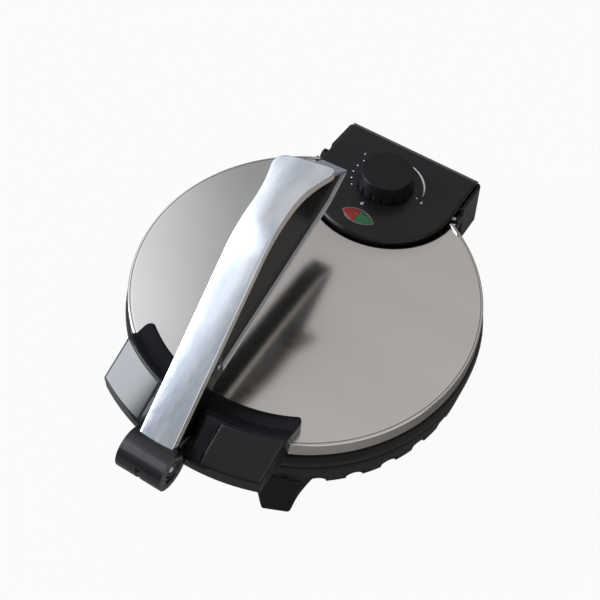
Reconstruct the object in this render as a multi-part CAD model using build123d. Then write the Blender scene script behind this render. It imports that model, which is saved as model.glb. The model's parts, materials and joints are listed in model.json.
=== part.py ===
from build123d import *
import math
import os

# Electric roti maker, millimetres. X to the right, Y to the back, Z up.
# Sizes are laid out from the lid's axis on the table; at the end the whole is moved so that
# the origin lies under the middle of the machine's overall box.

# ---- driving dimensions: overall form ----
lid_radius = 150.0            # rim of the steel lid
rim_height = 96.0             # rim of the lid above the table
lid_crown = 3.0               # rise of the lid's middle above its rim
steel_gauge = 1.2             # sheet of the lid cover
band_depth = 15.0             # steel band down from the rim
band_flare = 2.0              # radius gained down the band
case_step = 5.0               # case stands out past the lid's rim
case_radius = lid_radius + case_step
frame_chamfer = 1.5           # lower edge of the lid's frame
frame_wall = 8.0              # its upright part
frame_step = 1.0              # its rim outside the steel band
parting_drop = 30.0           # lid and base part this far below the rim
base_drop = 62.0              # lower edge of the base below the rim
plastic_wall = 3.0            # moulded walls
joint_gap = 0.3               # between pieces of different bodies
seat_gap = 0.1                # between pieces of one body
cut_past = 1.0                # cutters reach this far past what they cut
edge_chamfer = 2.0            # upper edges of the case and the lid
wall_draft = 1.0              # radius lost down the base's wall

# ---- cooking plates ----
plate_thickness = 6.0
plate_lip = 0.6               # raised edge of the lower plate
plate_lip_width = 3.0
plate_gap = 1.0               # half of the gap left for the dough
element_tube = 3.5
element_lead = 16.0           # straight ends of the heater
element_gap = 25.0            # open angle of the loop
reflector_gauge = 0.8
reflector_depth = 12.0
post_radius = 4.0
post_bearings = (30, 150, 270)

# ---- control housing ----
dial_inset = 19.0             # dial's axis inside the lid's rim
dial_y = lid_radius - dial_inset
panel_radius = 69.0           # round front of the control panel
panel_tail = 58.0             # panel behind the dial's axis
panel_back = dial_y + panel_tail
panel_thickness = 6.0
panel_hole_gap = 1.0          # hole for the shaft, clear of it all round
panel_bevel = 2.6             # along the rear edge
panel_round = 3.2             # along the round front and the sides
housing_inset = 2.0           # housing wall inside the panel's edge
housing_depth = 42.0
box_step = 18.0               # the wide rear box begins behind the dial's axis
box_start = dial_y + box_step
box_top_margin = 4.0          # box wider than the panel, each side
box_bottom_margin = 9.0
box_top_half = panel_radius + box_top_margin
box_bottom_half = panel_radius + box_bottom_margin
box_overhang = 2.0
box_corner = 5.0
box_lap = 10.0                # the round-fronted prism ends this far inside the box
box_back = panel_back + box_overhang
cutout_gap = 2.5              # lid cut-out around the panel
cutout_lip = 9.0              # turned-down lip of the cut-out
cutout_radius = panel_radius + cutout_gap
groove_inset = 2.8            # pressed groove just inside the lid's rim
groove_radius = 0.7
groove_lift = 0.6             # centre of its section above the rim

# ---- places of the plates: between the lid's front and the cut-out ----
plate_front_margin = 8.0
plate_back_margin = 1.5
plate_front = lid_radius - plate_front_margin
plate_rear = dial_y - cutout_radius - plate_back_margin
plate_radius = (plate_front + plate_rear) / 2
plate_offset = (plate_rear - plate_front) / 2
element_margin = 38.0
reflector_margin = 22.0
post_margin = 13.0
element_radius = plate_radius - element_margin
reflector_radius = plate_radius - reflector_margin
post_circle = plate_radius - post_margin

# ---- thermostat knob and dial ----
knob_radius = 26.8
knob_top_radius = 23.1
knob_height = 17.5
knob_lift = 0.6               # knob clear of the panel
knob_grips = 16
knob_wall = 2.4
knob_skirt = 3.0              # upright lower part
knob_round = (1.0, 1.5)       # out from and down from the top's edge
knob_cap_inset = 2.0
knob_cap_depth = 1.0
knob_cap_rise = 0.2
grip_radius = 2.2
grip_lean = 14.0              # degrees
grip_stand = 1.4              # axis of a grip notch outside the knob
shaft_radius = 3.0
running_gap = 0.05            # radial clearance of a turning fit
thermostat_size = (34.0, 28.0, 14.0)
thermostat_neck = 6.0         # neck below the thermostat's box
shaft_room = 3.0              # shaft hole below the box
lens_inset = 49.0             # lenses in front of the dial's axis
lens_y = dial_y - lens_inset
lens_half_length = 15.5
lens_half_width = 7.5
lens_split = 1.0
lens_height = 1.0
bezel_width = 1.0
lamp_radius = 2.6
lamp_length = 14.0

# ---- lid hinge ----
hinge_back = 10.5             # hinge axis behind the dial's axis
hinge_y = dial_y + hinge_back
hinge_drop = 6.0
hinge_pin_radius = 2.5
hinge_head_rim = 1.5          # head wider than the pin
hinge_head = 2.0
ear_thickness = 3.4
ear_radius = 6.0
ear_root = 14.0               # the ear's foot begins in front of the hinge
hinge_boss = 3.0              # boss on the housing's wall
ear_gap = 0.5                 # ear clear of the lid's cut-out
ear_inner = cutout_radius + ear_gap

# ---- front handle on the lid ----
ledge_depth = 18.0            # the ledge lies this far inside the lid's rim
handle_reach = 33.0           # the grips end this far outside it
handle_inner = lid_radius - ledge_depth
handle_outer = lid_radius + handle_reach
handle_corner = 6.0
handle_half = 73.5            # half of the handle's width
ledge_height = 12.0
ridge_step = 1.0              # ridge just outside the lid's rim
ridge_radius = lid_radius + ridge_step
ridge_height = 18.8
ridge_width = 2.5
grip_edge_height = 1.5        # outer edge of the sloping grip
grip_wall_drop = 12.0         # lower edge of the grip below the rim
grip_wall = 3.0
pad_inner_x = 28.0
pad_depth = 1.6
pad_margin = 3.2
pad_recess = 0.5
handle_arc = 70.0             # degrees, more than the handle spans

# ---- press lever ----
pivot_reach = 47.0            # pivot in front of the lid's rim
pivot_y = -(lid_radius + pivot_reach)
pivot_rise = 6.0              # pivot above the rim
lever_yaw = 4.5               # the lever leans to the left, seen from the front
barrel_radius = 16.0
barrel_half = 18.8
lug_thickness = 3.0
lug_radius = 9.0
slot_start = -15.0            # degrees, upper edge of the tongue's room at rest
slot_sweep = 198.0            # the lever's swing and the tongue's own width
lever_pin_radius = 3.0
slab_half = 14.2              # half of the lever's width
slab_start = (5.5, 12.5)
slab_rise = 35.2              # degrees, straight run of the lever
slab_run = 145.0
slab_bend = 80.0              # radius of the bend before the head
head_rise = 9.0               # degrees, slope of the head
head_run = 53.0
head_half = 22.5
head_flare_start = 160.0
shell_thickness = 2.6
lower_shell_thickness = 5.4
shell_reveal = 0.8            # lower shell set in from the polished one
trim_half = 11.5
trim_thickness = 3.0
trim_points = ((31.0, -4.0), (61.0, 15.5), (238.0, 48.0), (264.0, 61.0))
trim_bend = 22.0
rear_plate_top = (203.0, 103.0)
rear_plate_thickness = 2.4
core_half = 8.5               # recessed black core
block_half = 12.5             # wider block in front of the rails
block_end = 75.0
block_slot = ((56.0, 34.5), (64.0, 34.5), (64.0, 37.5), (56.0, 37.5))
slot_depth = 1.0
block_screw = (21.0, 3.0)
side_pin_radius = 2.2
side_pin_place = (70.0, 35.0)
cap_radius = 9.0
cap_thickness = 1.6
cap_recess = 0.6

# ---- base and feet ----
tooth_count = 32
notch_height = 5.0
notch_width = 14.0
notch_relief = 2.0            # depth of the recess above each notch
relief_height = 11.0
tooth_phase = 4.4             # degrees
leg_angle = 26.5              # front legs each side of the middle
rear_leg_angle = 145.0
leg_bearings = (-leg_angle, leg_angle, -rear_leg_angle, rear_leg_angle)
leg_bottom_width = 25.0
leg_front_width = 34.0        # at the base wall
leg_back_width = 88.0         # at the inner end of the leg's top
leg_block_width = 40.0        # block that stands under the bottom cover
leg_splay = 13.0              # the foot reaches past the base wall
leg_depth = 27.5
foot_depth = 14.0
leg_round = 2.5
pad_height = 2.0
pad_edge = 1.8                # rubber pad inside the foot's outline
pad_corner = 3.0
cover_thickness = 2.5
cover_rise = notch_height + 1.0
cover_level = rim_height - base_drop + cover_rise
cover_slot_margin = 85.0      # slots shorter than the case's radius
cover_slot_width = 5.0
cover_slot_pitch = 12.0
cover_slot_rows = 7
screw_radius = 2.0
screw_head = 3.6
screw_head_height = 1.4
cover_screw_inset = 26.0      # in from the case's wall
cover_screw_bearings = (60, 120, 240, 300)
frame_screw_inset = 14.0
frame_screw_bearings = (35, 140, 220, 325)

# ---- parts on the housing's floor ----
terminal_size = (36.0, 14.0, 12.0)
terminal_x = 30.0
terminal_inset = 26.0         # in from the housing's rear face
terminal_pitch = 10.0
terminal_hole = 2.5
fuse_radius = 2.2
fuse_half = 12.0
fuse_inset = 31.0
fuse_x = -25.0

# ---- cord inlet ----
gland_x = -42.0
gland_drop = 24.0
gland_radius = 7.5
gland_bore = 3.6
gland_collar = 2.0            # collar's rim and its thickness
gland_length = 14.0


def height(drop):
    """Height above the table of a level given below the lid's rim."""
    return rim_height - drop


def upright(radius, low, high, x=0.0, y=0.0):
    """Upright cylinder between two heights."""
    base = (Align.CENTER, Align.CENTER, Align.MIN)
    return Pos(x, y, low) * Cylinder(radius, high - low, align=base)


def turned(points, arc=360.0, middle=0.0):
    """Solid of revolution about the lid's axis, its arc centred on a bearing."""
    profile = Plane.XZ * make_face(Polyline(*points, close=True))
    return Rot(0, 0, middle - arc / 2) * revolve(profile, Axis.Z, arc)


def d_shape(half, back, low, high):
    """Prism with a round front about the dial's axis and a straight back."""
    length = back - dial_y
    front = ThreePointArc((-half, 0), (0, -half), (half, 0))
    rear = Polyline((half, 0), (half, length), (-half, length), (-half, 0))
    return Pos(0, dial_y, low) * extrude(make_face(front + rear), high - low)


def slanted(shape):
    """Edges that run more upwards than sideways."""
    return shape.edges().filter_by(lambda edge: abs((edge % 0.5).Z) > 0.5)


def slab_path(offset):
    """Side line of the lever's slab, moved down square to itself by offset."""
    rise, top = math.radians(slab_rise), math.radians(head_rise)
    start = Vector(slab_start[0], slab_start[1]) + Vector(math.sin(rise), -math.cos(rise)) * offset
    bend = start + Vector(math.cos(rise), math.sin(rise)) * slab_run
    run = Line(start, bend)
    curve = JernArc(bend, run % 1, slab_bend - offset, head_rise - slab_rise)
    end = curve @ 1 + Vector(math.cos(top), math.sin(top)) * head_run
    return run, curve, Line(curve @ 1, end)


def slab(upper, lower, half, tail_half, front_cut):
    """Layer of the lever between two offsets from its top line, in plan outline."""
    top_line = slab_path(upper)
    low_line = slab_path(lower)
    closing = (Line(top_line[2] @ 1, low_line[2] @ 1), Line(low_line[0] @ 0, top_line[0] @ 0))
    side = make_face(Curve() + [*top_line, *low_line, *closing])
    layer = extrude(Plane.YZ * side, tail_half + 1, both=True)
    tail = slab_end() - (slab_half - half)
    outline = Polyline(
        (-half, front_cut), (-half, head_flare_start)
    ) + Spline(
        (-half, head_flare_start), (-tail_half, tail), tangents=[(0, 1), (-0.5, 1)]
    )
    outline += Line((-tail_half, tail), (tail_half, tail))
    outline += Spline(
        (tail_half, tail), (half, head_flare_start), tangents=[(-0.5, -1), (0, -1)]
    )
    outline += Polyline((half, head_flare_start), (half, front_cut), (-half, front_cut))
    plan = extrude(make_face(outline), 2 * rim_height, both=True)
    return layer & plan


def slab_end():
    """How far back the lever's head reaches from the pivot."""
    return (slab_path(0.0)[2] @ 1).X


def in_lever(shape):
    """Places a piece of the lever, drawn about its pivot, on the machine."""
    return Pos(0, pivot_y, height(-pivot_rise)) * Rot(0, 0, lever_yaw) * shape


def lying(radius, half, y=0.0, z=0.0, x=0.0):
    """Cylinder along X about a point."""
    return Pos(x, y, z) * Rot(0, 90, 0) * Cylinder(radius, 2 * half)


def side_plate(points, half):
    """Plate with a side outline in Y and Z, centred on X."""
    return extrude(Plane.YZ * make_face(Polyline(*points, close=True)), half, both=True)


# ---- base ----
def base_shell():
    """Round tub: top deck, outer wall and a castellated lower edge."""
    low, high = height(base_drop), height(parting_drop)
    tub = turned([
        (0, low), (case_radius - wall_draft, low), (case_radius, high - edge_chamfer),
        (case_radius - edge_chamfer, high), (0, high),
    ])
    tub -= upright(case_radius - plastic_wall, low - cut_past, high - plastic_wall)
    tub -= upright(plate_radius + joint_gap, low, high + cut_past, y=plate_offset)
    tub -= d_shape(panel_radius, 3 * case_radius, height(housing_depth), high + cut_past)
    floor = height(housing_depth)
    pocket = d_shape(panel_radius + plastic_wall, 2 * case_radius, floor - plastic_wall, high)
    pocket -= d_shape(panel_radius, 3 * case_radius, floor, high + cut_past)
    tub += pocket & upright(case_radius - wall_draft, low, high)
    arch = ((notch_width / 2) ** 2 + notch_height ** 2) / (2 * notch_height)
    centre = low + notch_height - arch
    cutter = Pos(case_radius, 0, centre) * Rot(0, 90, 0) * Cylinder(arch, 4 * plastic_wall)
    cutter += Pos(case_radius, 0, low) * Box(2 * notch_relief, notch_width, 2 * relief_height)
    step = 360 / tooth_count
    for tooth in range(tooth_count):
        tub -= Rot(0, 0, tooth_phase + tooth * step) * cutter
    return tub


def base_cover():
    """Bottom cover with rows of cooling slots."""
    low, high = cover_level, cover_level + cover_thickness
    disc = upright(case_radius - plastic_wall - joint_gap, low, high)
    plan = SlotOverall(case_radius - cover_slot_margin, cover_slot_width)
    slot = Pos(0, 0, low) * extrude(plan, cover_thickness)
    for row in range(cover_slot_rows):
        disc -= Pos(0, cover_slot_pitch * (row - (cover_slot_rows - 1) / 2), 0) * slot
    for x, y in screw_places(cover_screw_inset, cover_screw_bearings):
        disc -= upright(screw_radius + seat_gap, low - cut_past, high + cut_past, x, y)
    return disc


def screw_places(inset, bearings):
    """Places on a circle inside the case's wall, at bearings from the front."""
    reach = case_radius - inset
    angles = [math.radians(bearing) for bearing in bearings]
    return [(reach * math.sin(angle), -reach * math.cos(angle)) for angle in angles]


def leg_section(near, far, near_width, far_width, level):
    """Level four-sided section of a leg, given at two distances from the machine's axis."""
    corners = [
        (near, near_width / 2), (far, far_width / 2), (far, -far_width / 2), (near, -near_width / 2)
    ]
    return Pos(0, 0, level) * make_face(Polyline(*corners, close=True))


def leg(bearing):
    """Splayed leg that spreads towards its top, with a block under the bottom cover."""
    top = height(base_drop) - seat_gap
    toe = case_radius + leg_splay
    inner = case_radius - leg_depth
    foot = leg_section(toe - foot_depth, toe, leg_bottom_width, leg_bottom_width, pad_height)
    root = leg_section(inner, case_radius, leg_back_width, leg_front_width, top)
    wedge = loft([foot, root])
    wedge = fillet(slanted(wedge), leg_round)
    ceiling = cover_level - seat_gap
    block = Pos((inner + case_radius) / 2, 0, (top + ceiling) / 2) * Box(
        leg_depth, leg_block_width, ceiling - top + cut_past
    )
    block &= upright(case_radius - plastic_wall - seat_gap, 0, ceiling)
    return Rot(0, 0, bearing - 90) * (wedge + block)


def foot_pad(bearing):
    """Rubber pad under a leg."""
    middle = case_radius + leg_splay - foot_depth / 2
    plan = RectangleRounded(foot_depth - 2 * pad_edge, leg_bottom_width - 2 * pad_edge, pad_corner)
    pad = extrude(plan, pad_height - seat_gap)
    return Rot(0, 0, bearing - 90) * (Pos(middle, 0, 0) * pad)


def plate(side):
    """Round cooking plate; side is -1 for the lower one and 1 for the upper one."""
    face = height(parting_drop) + side * plate_gap
    back = face + side * plate_thickness
    disc = upright(plate_radius, min(face, back), max(face, back), y=plate_offset)
    if side < 0:
        lip = upright(plate_radius, face, face + plate_lip, y=plate_offset)
        disc += lip - upright(
            plate_radius - plate_lip_width, face, face + cut_past, y=plate_offset
        )
    return disc


def element(side):
    """Tubular heater on the back of a plate: an open loop with two leads turned inwards."""
    level = height(parting_drop) + side * (plate_gap + plate_thickness + element_tube + seat_gap)
    half = math.radians(element_gap / 2)
    loop = CenterArc((0, 0), element_radius, 90 + element_gap / 2, 360 - element_gap)
    ring = sweep(Plane(loop @ 0, z_dir=loop % 0) * Circle(element_tube), loop)
    x, y = element_radius * math.sin(half), element_radius * math.cos(half)
    lead = Rot(90, 0, 0) * Cylinder(element_tube, element_lead)
    for place in (-x, x):
        ring += Pos(place, y - element_lead / 2, 0) * lead
    return Pos(0, plate_offset, level) * ring


def reflector(side):
    """Tin pan over the heater, its rim against the back of the plate."""
    back = height(parting_drop) + side * (plate_gap + plate_thickness + seat_gap)
    far = back + side * reflector_depth
    low, high = min(back, far), max(back, far)
    pan = upright(reflector_radius, low, high, y=plate_offset)
    inner = reflector_radius - reflector_gauge
    if side < 0:
        return pan - upright(inner, low + reflector_gauge, high + cut_past, y=plate_offset)
    return pan - upright(inner, low - cut_past, high - reflector_gauge, y=plate_offset)


def posts(side, end):
    """Posts between a plate's back and the wall behind it."""
    back = height(parting_drop) + side * (plate_gap + plate_thickness + seat_gap)
    low, high = min(back, end), max(back, end)
    post = Pos(post_circle, 0, 0) * upright(post_radius, low, high)
    return [Pos(0, plate_offset, 0) * Rot(0, 0, angle) * post for angle in post_bearings]


# ---- control housing ----
def rear_box(inset, low, high):
    """Wide box behind the hinge, its side walls spreading towards the bottom."""
    middle = (box_start + box_back) / 2
    depth = box_back - box_start - 2 * inset
    top = Pos(0, middle, high) * Rectangle(2 * (box_top_half - inset), depth)
    foot = Pos(0, middle, low) * Rectangle(2 * (box_bottom_half - inset), depth)
    return loft([foot, top])


def control_housing():
    """Box behind the lid: a round-fronted prism joined to the wide rear box."""
    low, high = height(housing_depth) + seat_gap, height(0)
    half = panel_radius - housing_inset
    box = fillet(slanted(rear_box(0, low, high)), box_corner)
    shell = d_shape(half, box_back - box_lap, low, high) + box
    floor, inner = low + plastic_wall, half - plastic_wall
    shell -= d_shape(inner, box_back - box_lap, floor, high + cut_past)
    shell -= rear_box(plastic_wall, floor, high + cut_past)
    for side in (-1, 1):
        middle = side * (half - hinge_boss)
        boss = lying(ear_radius, hinge_boss, hinge_y, height(hinge_drop), middle)
        shell += boss & d_shape(half, box_back, low, high)
        hole = hinge_pin_radius + running_gap
        shell -= lying(hole, 3 * hinge_boss, hinge_y, height(hinge_drop), side * half)
    shell -= gland_axis(gland_radius + seat_gap, 3 * plastic_wall)
    return shell


def gland_axis(radius, length):
    """Cylinder through the rear wall where the cord enters."""
    return Pos(gland_x, box_back, height(gland_drop)) * Rot(90, 0, 0) * Cylinder(radius, length)


def cord_gland():
    """Bush with a collar on each side of the rear wall and a bore for the cord."""
    bush = gland_axis(gland_radius, gland_length)
    collar = gland_axis(gland_radius + gland_collar, gland_collar)
    reach = (gland_length - gland_collar) / 2
    bush += Pos(0, reach, 0) * collar
    bush += Pos(0, -reach, 0) * collar
    return bush - gland_axis(gland_bore, 2 * gland_length)


def lens_plan(grow):
    """Boat-shaped outline of the pair of lenses."""
    half, rise = lens_half_length + grow, lens_half_width + grow
    upper = ThreePointArc((-half, 0), (0, rise), (half, 0))
    lower = ThreePointArc((half, 0), (0, -rise), (-half, 0))
    return make_face(upper + lower)


def control_panel():
    """Flat D-shaped top with bevelled edges, a shaft hole and the lens opening."""
    low = height(0) + seat_gap
    top = d_shape(panel_radius, panel_back, low, low + panel_thickness)
    edges = top.edges().group_by(Axis.Z)[-1]
    top = chamfer(edges.sort_by(Axis.Y)[-1], panel_bevel)
    edges = top.edges().group_by(Axis.Z)[-1]
    top = fillet(edges.sort_by(Axis.Y)[:-1], panel_round)
    shaft_hole = shaft_radius + panel_hole_gap
    top -= upright(shaft_hole, low - cut_past, low + 2 * panel_thickness, y=dial_y)
    opening = extrude(lens_plan(bezel_width + seat_gap), 3 * panel_thickness, both=True)
    return top - Pos(0, lens_y, low) * opening


def panel_top():
    """Height of the control panel's face."""
    return height(0) + seat_gap + panel_thickness


def lens(side):
    """One half of the lens pair: red on the left, green on the right."""
    half = extrude(lens_plan(-seat_gap), panel_thickness + lens_height)
    keep = Pos(side * (lens_half_length / 2 + lens_split / 2), 0, 0) * Box(
        lens_half_length, 4 * lens_half_width, 4 * panel_thickness
    )
    return Pos(0, lens_y, height(0) + seat_gap) * (half & keep)


def lens_bezel():
    """Bright rim around both lenses with a bar between them."""
    rim = extrude(lens_plan(bezel_width), panel_thickness + lens_height / 2)
    for side in (-1, 1):
        keep = Pos(side * (lens_half_length / 2 + lens_split / 2), 0, 0) * Box(
            lens_half_length + 2 * seat_gap, 4 * lens_half_width, 4 * panel_thickness
        )
        rim -= extrude(lens_plan(0), 3 * panel_thickness) & keep
    return Pos(0, lens_y, height(0) + seat_gap) * rim


def pilot_lamps():
    """Neon lamps that stand under the two lenses."""
    place = lens_half_length / 2
    return [
        upright(lamp_radius, height(lamp_length), height(0), side * place, lens_y)
        for side in (-1, 1)
    ]


def thermostat_body():
    """Thermostat that hangs under the panel around the knob's shaft."""
    wide, deep, tall = thermostat_size
    body = Pos(0, dial_y, height(tall / 2)) * Box(wide, deep, tall)
    body += upright(2 * shaft_radius, height(tall + thermostat_neck), height(0), y=dial_y)
    hole = shaft_radius + running_gap
    return body - upright(hole, height(tall + shaft_room), height(-cut_past), y=dial_y)


def knob_shaft():
    """Steel shaft between the thermostat and the knob."""
    foot = height(thermostat_size[2] + shaft_room - joint_gap)
    return upright(shaft_radius, foot, panel_top() + knob_height / 2, y=dial_y)


def thermostat_knob():
    """Hollow tapered knob with a ring of grip notches."""
    low = panel_top() + knob_lift
    high = low + knob_height
    out, down = knob_round
    body = Plane.XZ * make_face(Polyline(
        (0, low), (knob_radius, low), (knob_radius, low + knob_skirt),
        (knob_top_radius + out, high - down), (knob_top_radius, high), (0, high), close=True
    ))
    body = revolve(body, Axis.Z)
    body -= upright(knob_top_radius - knob_cap_inset, high - knob_cap_depth, high + cut_past)
    ceiling = high - knob_cap_depth - knob_wall
    hollow = upright(knob_top_radius - knob_wall, low - cut_past, ceiling)
    body -= hollow - upright(2 * shaft_radius, low, high)
    socket = panel_top() + knob_height / 2 + seat_gap
    body -= upright(shaft_radius + seat_gap, low - cut_past, socket)
    lean = Pos(knob_radius + grip_stand, 0, low + knob_skirt) * Rot(0, -grip_lean, 0)
    body -= PolarLocations(0, knob_grips) * (lean * upright(grip_radius, cut_past, knob_height))
    return Pos(0, dial_y, 0) * body


def knob_cap():
    """Flat disc let into the top of the knob."""
    high = panel_top() + knob_lift + knob_height
    radius = knob_top_radius - knob_cap_inset - seat_gap
    return upright(radius, high - knob_cap_depth + seat_gap, high + knob_cap_rise, y=dial_y)


def hinge_pins():
    """Two steel pins through the housing's walls, their heads inside it."""
    level = height(hinge_drop)
    near = panel_radius - housing_inset - 2 * hinge_boss - seat_gap
    far = ear_inner + ear_thickness - joint_gap
    pins = []
    for side in (-1, 1):
        pin = lying(hinge_pin_radius, (far - near) / 2, hinge_y, level, side * (far + near) / 2)
        middle = side * (near - hinge_head / 2)
        head = lying(hinge_pin_radius + hinge_head_rim, hinge_head / 2, hinge_y, level, middle)
        pins.append(pin + head)
    return pins


def terminal_block():
    """Terminal block on the housing's floor."""
    low = height(housing_depth) + plastic_wall + 2 * seat_gap
    wide, deep, tall = terminal_size
    place = Pos(terminal_x, box_back - terminal_inset, low)
    block = place * Box(wide, deep, tall, align=(Align.CENTER, Align.CENTER, Align.MIN))
    for step in (-1, 0, 1):
        block -= place * Pos(step * terminal_pitch, 0, tall) * Cylinder(terminal_hole, tall)
    return block


def thermal_fuse():
    """Thermal fuse in its sleeve on the housing's floor."""
    low = height(housing_depth) + plastic_wall + 2 * seat_gap
    return lying(fuse_radius, fuse_half, box_back - fuse_inset, low + fuse_radius, fuse_x)


# ---- lid ----
def lid_solid(inset, low_drop):
    """Filled outer form of the lid cover, moved inwards by inset."""
    edge = lid_radius - inset
    top, low = height(inset), height(low_drop)
    middle = (0, top + lid_crown)
    halfway = (edge / 2, top + 0.75 * lid_crown)
    shoulder = (edge - edge_chamfer, top)
    hem = (edge + band_flare, low)
    crown = ThreePointArc(middle, halfway, shoulder)
    band = Polyline(shoulder, (edge, top - edge_chamfer), hem, (0, low), middle)
    puck = revolve(Plane.XZ * make_face(crown + band), Axis.Z)
    bite = cutout_radius + inset
    return puck - d_shape(bite, 2 * case_radius, height(2 * band_depth), height(-2 * lid_crown))


def lid_cover():
    """Steel cover with a groove along its rim and a turned-down lip at the cut-out."""
    low = height(band_depth + cut_past)
    cover = lid_solid(0, band_depth) - lid_solid(steel_gauge, band_depth + cut_past)
    below_lip = d_shape(cutout_radius + 2 * steel_gauge, 2 * case_radius, low, height(cutout_lip))
    cover -= below_lip & upright(lid_radius - groove_inset, low, height(0))
    groove = Torus(lid_radius - groove_inset, groove_radius)
    return cover - Pos(0, 0, height(-groove_lift)) * groove


def lid_frame():
    """Black ring under the steel band, with a deck around the plate and two hinge ears."""
    low, high = height(parting_drop) + joint_gap, height(band_depth) - seat_gap
    far = 2 * case_radius
    ring = turned([
        (0, low), (case_radius - frame_chamfer, low), (case_radius, low + frame_chamfer),
        (case_radius, low + frame_wall), (lid_radius + band_flare + frame_step, high), (0, high),
    ])
    ring -= d_shape(cutout_radius, far, low - cut_past, height(-cut_past))
    room = upright(lid_radius - frame_step, low + plastic_wall, high + cut_past)
    room -= d_shape(cutout_radius + plastic_wall, far, low, high + 2 * cut_past)
    ring -= room
    lip = height(cutout_lip) - seat_gap
    rise = d_shape(cutout_radius + plastic_wall, far, high - cut_past, lip)
    rise -= d_shape(cutout_radius, far + case_radius, low, height(-cut_past))
    ring += rise & upright(lid_radius - plastic_wall - frame_step, low, height(0))
    plate_room = plate_radius + seat_gap
    ring -= upright(plate_room, low - cut_past, low + 3 * plastic_wall, y=plate_offset)
    for side in (-1, 1):
        ring += hinge_ear(side)
    for x, y in screw_places(frame_screw_inset, frame_screw_bearings):
        ring -= upright(screw_radius + seat_gap, low - cut_past, low + 2 * plastic_wall, x, y)
    return ring


def hinge_ear(side):
    """Ear beside the housing: it rises from the ring to the hinge pin."""
    low, level = height(parting_drop) + joint_gap, height(hinge_drop)
    root = hinge_y - ear_root
    deck = height(band_depth) - frame_step
    arm = [
        (root, low), (hinge_y - frame_step, low), (hinge_y + ear_radius, level - ear_radius / 2),
        (hinge_y, level), (hinge_y - ear_radius, level - ear_radius / 2),
        (hinge_y - ear_radius, deck), (root, deck),
    ]
    ear = side_plate(arm, ear_thickness / 2)
    ear += lying(ear_radius, ear_thickness / 2, hinge_y, level)
    ear -= lying(hinge_pin_radius + running_gap, ear_thickness, hinge_y, level)
    return Pos(side * (ear_inner + ear_thickness / 2), 0, 0) * ear


def lid_screws():
    """Screws in the frame's underside, their heads on the deck's inner face."""
    low = height(parting_drop) + joint_gap
    deck = low + plastic_wall + seat_gap
    screws = []
    for x, y in screw_places(frame_screw_inset, frame_screw_bearings):
        shank = upright(screw_radius, low + joint_gap, deck + cut_past, x, y)
        screws.append(shank + upright(screw_head, deck, deck + screw_head_height, x, y))
    return screws


# ---- front handle ----
def handle_form(inset):
    """Ledge, ridge and sloping grips as one turned form, moved inwards by inset."""
    lid_top = height(-seat_gap) + lid_crown * (1 - (handle_inner / lid_radius) ** 2)
    skin = handle_inner + inset
    ridge_end = ridge_radius + ridge_width
    outline = [
        (skin, lid_top + 1.2), (skin, height(-ledge_height + 1.5) - inset),
        (skin + 1.5, height(-ledge_height) - inset),
        (ridge_radius - 4, height(-ledge_height - 1.5) - inset),
        (ridge_radius, height(-ridge_height) - inset), (ridge_end, height(-ridge_height) - inset),
        (handle_outer - inset, height(-grip_edge_height) - inset),
        (handle_outer + 1 - inset, height(grip_wall_drop)),
        (lid_radius + band_flare + 0.5 + inset, height(grip_wall_drop)),
        (lid_radius + 0.6 + inset, height(2)), (lid_radius - 1.5, height(-0.7)),
    ]
    form = turned(outline, handle_arc, -90)
    width = 2 * (handle_half - inset)
    back = math.sqrt(handle_inner ** 2 - handle_half ** 2) + handle_corner / 2
    plan = RectangleRounded(width, handle_outer, handle_corner)
    return form & Pos(0, -back - handle_outer / 2, 0) * extrude(plan, 4 * rim_height)


def grip_slab(top, bottom, margin):
    """Layer parallel to the sloping grips between two depths under their face."""
    inner, outer = ridge_radius + ridge_width, handle_outer
    slope = math.atan2(ridge_height - grip_edge_height, outer - inner)
    down = Vector(-math.sin(slope), -math.cos(slope))
    along = Vector(math.cos(slope), -math.sin(slope)) * margin
    first = Vector(inner, height(-ridge_height)) + along
    last = Vector(outer, height(-grip_edge_height)) - along
    corners = [first + down * top, last + down * top, last + down * bottom, first + down * bottom]
    return turned([(corner.X, corner.Y) for corner in corners], handle_arc, -90)


def grip_window(side, margin):
    """Box that holds the plan of one grip's pad."""
    inner, outer = pad_inner_x + margin, handle_half - pad_margin - margin
    middle = side * (inner + outer) / 2
    return Pos(middle, -handle_outer, rim_height) * Box(outer - inner, handle_outer, 2 * rim_height)


def lever_room():
    """Space kept free for the lever, its barrel and its lower side."""
    gap = 1.0
    low = trim_points[0][1]
    wide = slab_half + gap
    side = [
        (-2 * barrel_radius, 0), (barrel_radius, low - 6), (trim_points[0][0], low - gap),
        (trim_points[1][0], trim_points[1][1] - gap), (2 * rim_height, trim_points[1][1] + 30),
        (2 * rim_height, 2 * rim_height), (-2 * barrel_radius, 2 * rim_height),
    ]
    return side_plate(side, wide) + lying(barrel_radius + gap, barrel_half + gap)


def front_handle():
    """Moulded handle on the lid's front with a saddle for the lever."""
    handle = handle_form(0)
    hollow = handle_form(grip_wall)
    core = Pos(0, -handle_outer, rim_height) * Box(2 * pad_inner_x - 2, handle_outer, 4 * rim_height)
    ledge_keep = upright(ridge_radius + grip_wall, 0, 2 * rim_height)
    handle -= (hollow - core) - ledge_keep
    for side in (-1, 1):
        handle -= grip_slab(-1, pad_depth, pad_margin) & grip_window(side, 0)
    handle -= in_lever(lever_room())
    handle -= in_lever(side_plate(lug_outline(seat_gap), lug_thickness / 2 + seat_gap))
    return handle


def grip_pad(side):
    """Glossy pad let into one sloping grip."""
    pad = grip_slab(pad_recess, pad_depth - seat_gap, pad_margin + seat_gap)
    return pad & grip_window(side, seat_gap)


def lug_outline(grow):
    """Side outline of the steel tongue between the handle and the pivot."""
    root = 38.0
    low = -grip_wall_drop - pivot_rise + 2
    return [
        (-2, -4 - grow), (12, low - grow), (root + grow, low - grow),
        (root + grow, low + 9 + grow), (12, low + 9 + grow), (3, 5 + grow), (-2, 5),
    ]


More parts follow.
